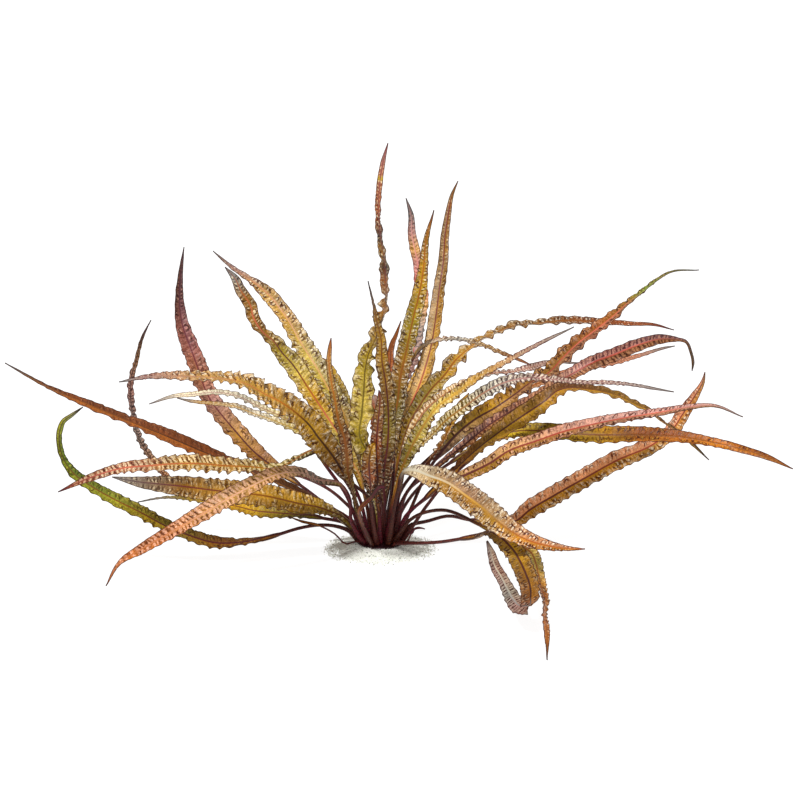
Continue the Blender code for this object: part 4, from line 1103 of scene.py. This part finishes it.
def lane_marks(put, m):
    """How far a point is from the nearest side vein, the luck and the place of that vein
    and of the hill it is on, which differ between the blade's halves, and how far it is
    from the middle of their marks and from the dark arches of painted shadow round the
    hill's outer end."""
    lane = put("Math MULTIPLY_ADD", put("Math SUBTRACT", m["bends"], 0.5), 1.1, m["lane"])
    phase = put("Math SUBTRACT", put("Math FRACT", lane), 0.5)
    m["to_line"] = put("Math MULTIPLY", put("Math ABSOLUTE", phase), 2.0)
    half = put("Math MULTIPLY", put("Math SIGN", m["across_mm"]), HALVES_APART)
    for thing, mode, near, far in MIDDLES:
        number = put("Math ADD", put("Math " + mode, lane), half)
        m[thing + "_luck"] = put("TexWhiteNoise 1D", W=number, out="Value")
        other = put("Math ADD", number, 0.3)
        m[thing + "_place"] = put("TexWhiteNoise 1D", W=other, out="Value")
        middle = put(SMOOTH, m[thing + "_place"], 0.0, 1.0, near, far)
        m["off_" + thing] = put("Math ABSOLUTE", put("Math SUBTRACT", m["out"], middle))
    middle = put(SMOOTH, m["hill_place"], 0.0, 1.0, *SHADOW_ARCH_MIDDLES)
    middle = put("Math MULTIPLY", m["half_mm"], middle)
    m["beyond"] = put("Math SUBTRACT", m["off_rib"], middle)
    along = put("Math MULTIPLY", phase, m["pitch_mm"])
    spot = put("CombineXYZ", along, put("Math MULTIPLY", m["beyond"], 0.7), 0.0)
    far = put("VectorMath LENGTH", spot, out="Value")
    radius = put(SMOOTH, m["hill_luck"], 0.0, 1.0, *SHADOW_ARCH_RADII)
    m["off_arch"] = put("Math ABSOLUTE", put("Math SUBTRACT", far, radius))


print("arches of", *SHADOW_ARCH_RADII, "mm radius")

# %% How strong each layer is, as a product of smooth ramps
# Each ramp: what it follows, where it starts and ends, and its values there (or 0 and 1)
LAYERS = {
    # Thin dark lines in the creases along the side veins: painted shade.
    "line": (("to_line", 0.68, 0.84), ("off_line", 0.16, 0.38, 1.0, 0.0),
             ("line_luck", 0.15, 0.7, 0.1, 0.95)),
    # Dark arches round the outer end of some hills: painted shadow of the hill.
    "arch": (("off_arch", 0.2, 0.6, 1.0, 0.0), ("beyond", -0.8, 0.4), ("hill_luck", 0.25, 0.7)),
    # Pale hills: partly the tissue's paler colour and partly painted highlight.
    "hill": (("to_line", 0.10, 0.5, 1.0, 0.0), ("off_hill", 0.16, 0.44, 1.0, 0.0),
             ("hill_luck", 0.2, 0.7, 0.2, 1.3)),
    # The under side's pale net: partly paler tissue over the veins and partly painted highlight.
    "net": (("to_line", 0.36, 0.72), ("out", 0.08, 0.22)),
    # Dark hollows between the net's veins: painted shade.
    "hollow_shade": (("to_line", 0.15, 0.58, 1.0, 0.0), ("out", 0.10, 0.24),
               ("out", 0.66, 0.92, 1.0, 0.15), ("hill_luck", 0.1, 0.5, 0.5, 1.1)),
    # Ruffle crests: painted highlight.
    "ridge_highlight": (("fold", 0.1, 0.7),),
    # Ruffle troughs: painted shade.
    "trough_shade": (("fold", -0.9, -0.15, 1.0, 0.0),),
    "pale_fleck": (("flecks", 0.54, 0.64), ("out", 0.12, 0.3)),
    "dark_fleck": (("flecks", 0.36, 0.46, 1.0, 0.0), ("out", 0.12, 0.3)),
    "mottle": (("veins", 0.36, 0.58, 0.3, 1.25),),
    "shade": (("veins", 0.34, 0.66, 0.7, 1.24), ("blots", 0.3, 0.7, 0.82, 1.14)),
    "rib": (("past_rib", -0.35, 0.35, 0.92, 0.0),),
    "rim": (("from_edge", 0.3, 1.15, 0.9, 0.0),),
    "bands": (("veins", 0.35, 0.65),),
    "roughness": (("veins", 0.3, 0.7, 0.32, 0.5),),
}


def layer_strengths(put, m):
    """Every layer's strength, with how pale and how dark each point is. On the upper side
    lines, arches and hills count, and on the under side the net and its hollows. The pale
    hills and net are partly paler tissue and partly painted highlight, and the dark lines,
    arches and hollows are painted shade."""
    on = {}
    for name, ramps in LAYERS.items():
        steps = [put(SMOOTH, m[mark], *ramp) for mark, *ramp in ramps]
        on[name] = functools.reduce(functools.partial(put, "Math MULTIPLY"), steps)
    under = put("Math SUBTRACT", 1.0, m["upper"])
    # On the upper side the pale hills are partly painted highlight, the dark lines and arches
    # painted shade.
    pale = put("Math MULTIPLY", m["upper"], on["hill"])
    dark = put("Math MULTIPLY", m["upper"], put("Math MAXIMUM", on["line"], on["arch"]))
    # Adds the pale net, the painted highlight on the ruffle crests and the pale flecks.
    for part, share in ((on["net"], under), (on["ridge_highlight"], 0.85), (on["pale_fleck"], 0.45)):
        pale = put("Math MULTIPLY_ADD", part, share, pale)
    # Adds the hollows' painted shade, the painted shade in the ruffle troughs and the dark flecks.
    for part, share in ((on["hollow_shade"], under), (on["trough_shade"], 0.5), (on["dark_fleck"], 0.35)):
        dark = put("Math MULTIPLY_ADD", part, share, dark)
    pale = put("Math MULTIPLY", pale, on["mottle"])
    on["pale"] = put("Math MULTIPLY", pale, m["pale"])
    on["dark"] = put("Math MULTIPLY", dark, m["dark"])
    return on


print("layers:", len(LAYERS))

# %% Wet leaf skin
def leaf_skin():
    """The layers of colour, from the tint up to the stalk. Wet blades in soft light show
    little mirror sheen, so the specular level is 0.3, a little under the usual 0.5."""
    material, tree, shader = new_material("wet_leaf_skin")
    put = functools.partial(add, tree)
    m = blade_marks(put)
    lane_marks(put, m)
    on = layer_strengths(put, m)
    # The colour that the dark marks darken the tint towards: painted shade in creases, hollows and
    # troughs.
    painted_shade_tint = put("MixRGB MULTIPLY", 1.0, m["tint"], linear("#6A3A2C"))
    rim_tint = put("MixRGB MULTIPLY", 1.0, m["tint"], linear("#6A3C28"))
    # Pale marks lighten the tint (partly painted highlight), then dark marks darken it (painted
    # shade).
    colour = put("MixRGB MIX", on["pale"], m["tint"], m["pale_tint"])
    colour = put("MixRGB MIX", on["dark"], colour, painted_shade_tint)
    colour = put("MixRGB MULTIPLY", 1.0, colour, on["shade"])
    colour = put("MixRGB MIX", on["rib"], colour, m["rib_tint"])
    colour = put("MixRGB MIX", on["rim"], colour, rim_tint)
    stalk_light = put("MixRGB MIX", m["stalk_age"], linear("#741A2C"), linear("#5A2E1A"))
    stalk = put("MixRGB MIX", on["bands"], linear("#24060A"), stalk_light)
    colour = put("MixRGB MIX", m["blade"], stalk, colour)
    tree.links.new(colour, shader.inputs["Base Color"])
    tree.links.new(on["roughness"], shader.inputs["Roughness"])
    shader.inputs["IOR"].default_value = 1.4
    shader.inputs["Specular IOR Level"].default_value = 0.3
    bump = put("Bump", Height=m["veins"], Strength=0.4, Distance=0.4 * MM)
    tree.links.new(bump, shader.inputs["Normal"])
    return material


skin = leaf_skin()
print("leaf finish:", skin.name, len(skin.node_tree.nodes), "nodes")

# %% Every leaf, on its own route
leaf_faces = 0
for number, name in enumerate(sorted(LEAVES), start=1):
    chance = np.random.default_rng(700 + number)
    points, marks, colours = leaf_points(name, looks[name], chance)
    length = marks["along_mm"].max()
    girth = 4 * float(np.mean(marks["half_mm"])) + 1
    mesh = sheet_mesh(f"strap_{number:02d}", points, marks, colours, length, girth)
    mesh.materials.append(skin)
    strap = in_scene(mesh.name, mesh)
    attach(strap, "root")
    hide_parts(name)
    leaf_faces += 2 * len(mesh.polygons)
print("leaves made:", number, "with about", leaf_faces, "triangles")

# %% [markdown]
# ## The crown and the sand
# The crown is a short stem hidden by the sheaths of the stalks. The sand is a low mound
# of pale quartz with a few dark grains, 0.5 to 2 mm across. One joined mesh of small
# faceted grains on a rough mound shows real grains at its edge, where a flat patch with
# a noise texture would look cut out.

# %% A crown of old sheaths
CROWN_RADII = [23.0, 23.2, 22.0, 19.0, 14.5, 9.0, 3.5]
CROWN_HEIGHTS = [4.9, 5.6, 6.6, 7.4, 8.2, 8.8, 9.2]
CROWN_SIDES = 72
CROWN_ROUGH = 0.02


def round_rings(radii, heights, sides):
    """Points of rings round the middle; a ring's radius and height may change round it."""
    angles = math.tau * np.arange(sides) / sides
    rings = [(radius * np.cos(angles), radius * np.sin(angles), height + 0 * angles)
             for radius, height in zip(radii, heights)]
    return np.array(rings).transpose(0, 2, 1)


chance = np.random.default_rng(61)
rough = [1 + CROWN_ROUGH * chance.normal(0, 1, (2, CROWN_SIDES)) for _ in CROWN_RADII]
radii = [radius * out for radius, (out, _) in zip(CROWN_RADII, rough)]
heights = [height * up for height, (_, up) in zip(CROWN_HEIGHTS, rough)]
crown_points = round_rings(radii, heights, CROWN_SIDES)
crown_mesh = new_mesh("crown_sheaths", crown_points, tube_faces(len(radii), CROWN_SIDES))
crown_mesh.shade_smooth()
sheath, sheath_tree, sheath_shader = new_material("dark_wet_sheath")
spot = add(sheath_tree, "TexCoord", out="Object")
fibres = add(sheath_tree, "TexNoise", Vector=spot, Scale=420.0, Detail=3.0)
bands = add(sheath_tree, SMOOTH, fibres, 0.35, 0.7)
sheath_colour = add(sheath_tree, "MixRGB MIX", bands, linear("#1C0A0E"), linear("#4A1A24"))
sheath_tree.links.new(sheath_colour, sheath_shader.inputs["Base Color"])
sheath_shader.inputs["Roughness"].default_value = 0.5
sheath_bump = add(sheath_tree, "Bump", Height=fibres, Strength=0.6, Distance=0.5 * MM)
sheath_tree.links.new(sheath_bump, sheath_shader.inputs["Normal"])
crown_mesh.materials.append(sheath)
crown = in_scene("crown_sheaths", crown_mesh)
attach(crown, "root")
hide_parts("rhizome")
print("crown: radius", max(CROWN_RADII), "mm, top", max(CROWN_HEIGHTS), "mm")

# %% The mound under the grains
SAND_RADIUS = 56.0
SAND_TOP = 6.2
SLOPE_FROM, SLOPE_TO = 19, 57
MOUND_SIDES, MOUND_RINGS = 120, 30


def sand_height(radius):
    """The sand's height (mm) at this distance from its middle."""
    return SAND_TOP * (1 - step_between(SLOPE_FROM, SLOPE_TO, radius)) + 0.5


def mound_points(chance):
    """Rings of points from the mound's uneven rim to its middle, just below the grains."""
    angles = math.tau * np.arange(MOUND_SIDES) / MOUND_SIDES
    edge = 0.84 + 0.04 * np.sin(3 * angles + 1) + 0.03 * np.sin(7 * angles)
    rim = (SAND_RADIUS - 2) * (edge + 0.02 * chance.normal(0, 1, MOUND_SIDES))
    radii, heights = [rim], [0.0]
    for step in range(MOUND_RINGS):
        radii.append(rim * (1 - step / MOUND_RINGS))
        height = sand_height(radii[-1]) - 0.4 + 0.12 * chance.normal(0, 1, MOUND_SIDES)
        heights.append(np.maximum(0.15, height))
    return round_rings(radii, heights, MOUND_SIDES)


print("sand's height at 0, 30 and 50 mm:", np.round(sand_height(np.array([0, 30, 50])), 1), "mm")

# %% Grains: small faceted stones, all joined to the mound
GRAINS = 9000
GRAIN_SIZES = (0.4, 0.9)
STRAY_SHARE = 0.2
GRAIN_SHAPE = np.array(
    [(1, 0, 0), (0, 1, 0), (-1, 0, 0), (0, -1, 0), (0, 0, 1), (0, 0, -1)], float
)
GRAIN_FACES = np.array(
    [(0, 1, 4), (1, 2, 4), (2, 3, 4), (3, 0, 4), (1, 0, 5), (2, 1, 5), (3, 2, 5), (0, 3, 5)]
)


def turned_at_random(chance, count):
    """Random rotations from random quaternions."""
    q = chance.normal(0, 1, (count, 4))
    w, x, y, z = (q / np.linalg.norm(q, axis=1)[:, None]).T
    rows = [
        [1 - 2 * (y * y + z * z), 2 * (x * y - z * w), 2 * (x * z + y * w)],
        [2 * (x * y + z * w), 1 - 2 * (x * x + z * z), 2 * (y * z - x * w)],
        [2 * (x * z - y * w), 2 * (y * z + x * w), 1 - 2 * (x * x + y * y)],
    ]
    return np.array(rows).transpose(2, 0, 1)


def grain_points(chance):
    """Six corners for each grain. Most grains lie on the mound, from a third of the sand's
    radius out to seven eighths, and strays lie round its rim."""
    reach = SAND_RADIUS * np.sqrt(chance.uniform(0.12, 0.78, GRAINS))
    strays = chance.uniform(0, 1, GRAINS) < STRAY_SHARE
    far = SAND_RADIUS * (1.06 - 0.2 * np.sqrt(chance.uniform(0, 1, GRAINS)))
    reach = np.where(strays, far, reach)
    heading = chance.uniform(0, math.tau, GRAINS)
    size = chance.uniform(*GRAIN_SIZES, GRAINS)
    level = np.maximum(size * 0.8, sand_height(reach) - 0.3)
    spots = np.stack([reach * np.cos(heading), reach * np.sin(heading), level], 1)
    stretch = chance.uniform(0.6, 1.2, (GRAINS, 1, 3)) * size[:, None, None]
    turns = turned_at_random(chance, GRAINS)
    grains = spots[:, None] + np.einsum("gij,gvj->gvi", turns, GRAIN_SHAPE[None] * stretch)
    grains[..., 2] = np.maximum(grains[..., 2], 0.02)
    return grains.reshape(-1, 3)


def build_sand(chance):
    """The mound and its grains in one mesh, where each grain carries a number of its own."""
    base = mound_points(chance).reshape(-1, 3)
    points = np.concatenate([base, grain_points(chance)])
    corners = len(GRAIN_SHAPE)
    shades = np.repeat(chance.uniform(0, 1, GRAINS), corners)
    firsts = len(base) + corners * np.arange(GRAINS)[:, None, None]
    faces = tube_faces(MOUND_RINGS + 1, MOUND_SIDES)
    faces += (GRAIN_FACES[None] + firsts).reshape(-1, 3).tolist()
    mesh = new_mesh("sand_patch", points, faces)
    carry(mesh, {"grain": np.concatenate([np.full(len(base), 0.5), shades])})
    return mesh


sand_mesh = build_sand(np.random.default_rng(83))
print("sand:", GRAINS, "grains,", len(sand_mesh.polygons), "faces")

# %% Pale quartz sand
GRAIN_STEPS = ((0.04, "#B4B6A8"), (0.1, "#DDE0D4"), (0.24, "#F0F2EA"), (0.5, "#FFFFFA"))
quartz, quartz_tree, quartz_shader = new_material("pale_quartz_sand")
grain_mark = add(quartz_tree, "Attribute grain", out="Fac")
grain_colour = linear("#84867A")
for share, code in GRAIN_STEPS:
    chosen = add(quartz_tree, "Math GREATER_THAN", grain_mark, share)
    grain_colour = add(quartz_tree, "MixRGB MIX", chosen, grain_colour, linear(code))
quartz_tree.links.new(grain_colour, quartz_shader.inputs["Base Color"])
quartz_shader.inputs["Roughness"].default_value = 0.6
sand_spot = add(quartz_tree, "TexCoord", out="Object")
grit = add(quartz_tree, "TexNoise", Vector=sand_spot, Scale=1400.0, Detail=2.0)
grit_bump = add(quartz_tree, "Bump", Height=grit, Strength=0.5, Distance=0.3 * MM)
quartz_tree.links.new(grit_bump, quartz_shader.inputs["Normal"])
sand_mesh.materials.append(quartz)
sand = in_scene("sand_patch", sand_mesh)
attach(sand, "root")
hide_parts("sand_bed")
print("shades of quartz:", len(GRAIN_STEPS) + 1)

# %% [markdown]
# ## Sizes
# The dressed plant is meant to keep the CAD model's size, and both boxes are printed.

# %% Print both boxes and finish
visual_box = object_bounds()
sizes = {
    "cad": [list(corner) for corner in cad_box],
    "visual": [list(corner) for corner in visual_box],
}
for label, (low, high) in sizes.items():
    print(label, "size in mm:", [round((b - a) / MM, 1) for a, b in zip(low, high)])
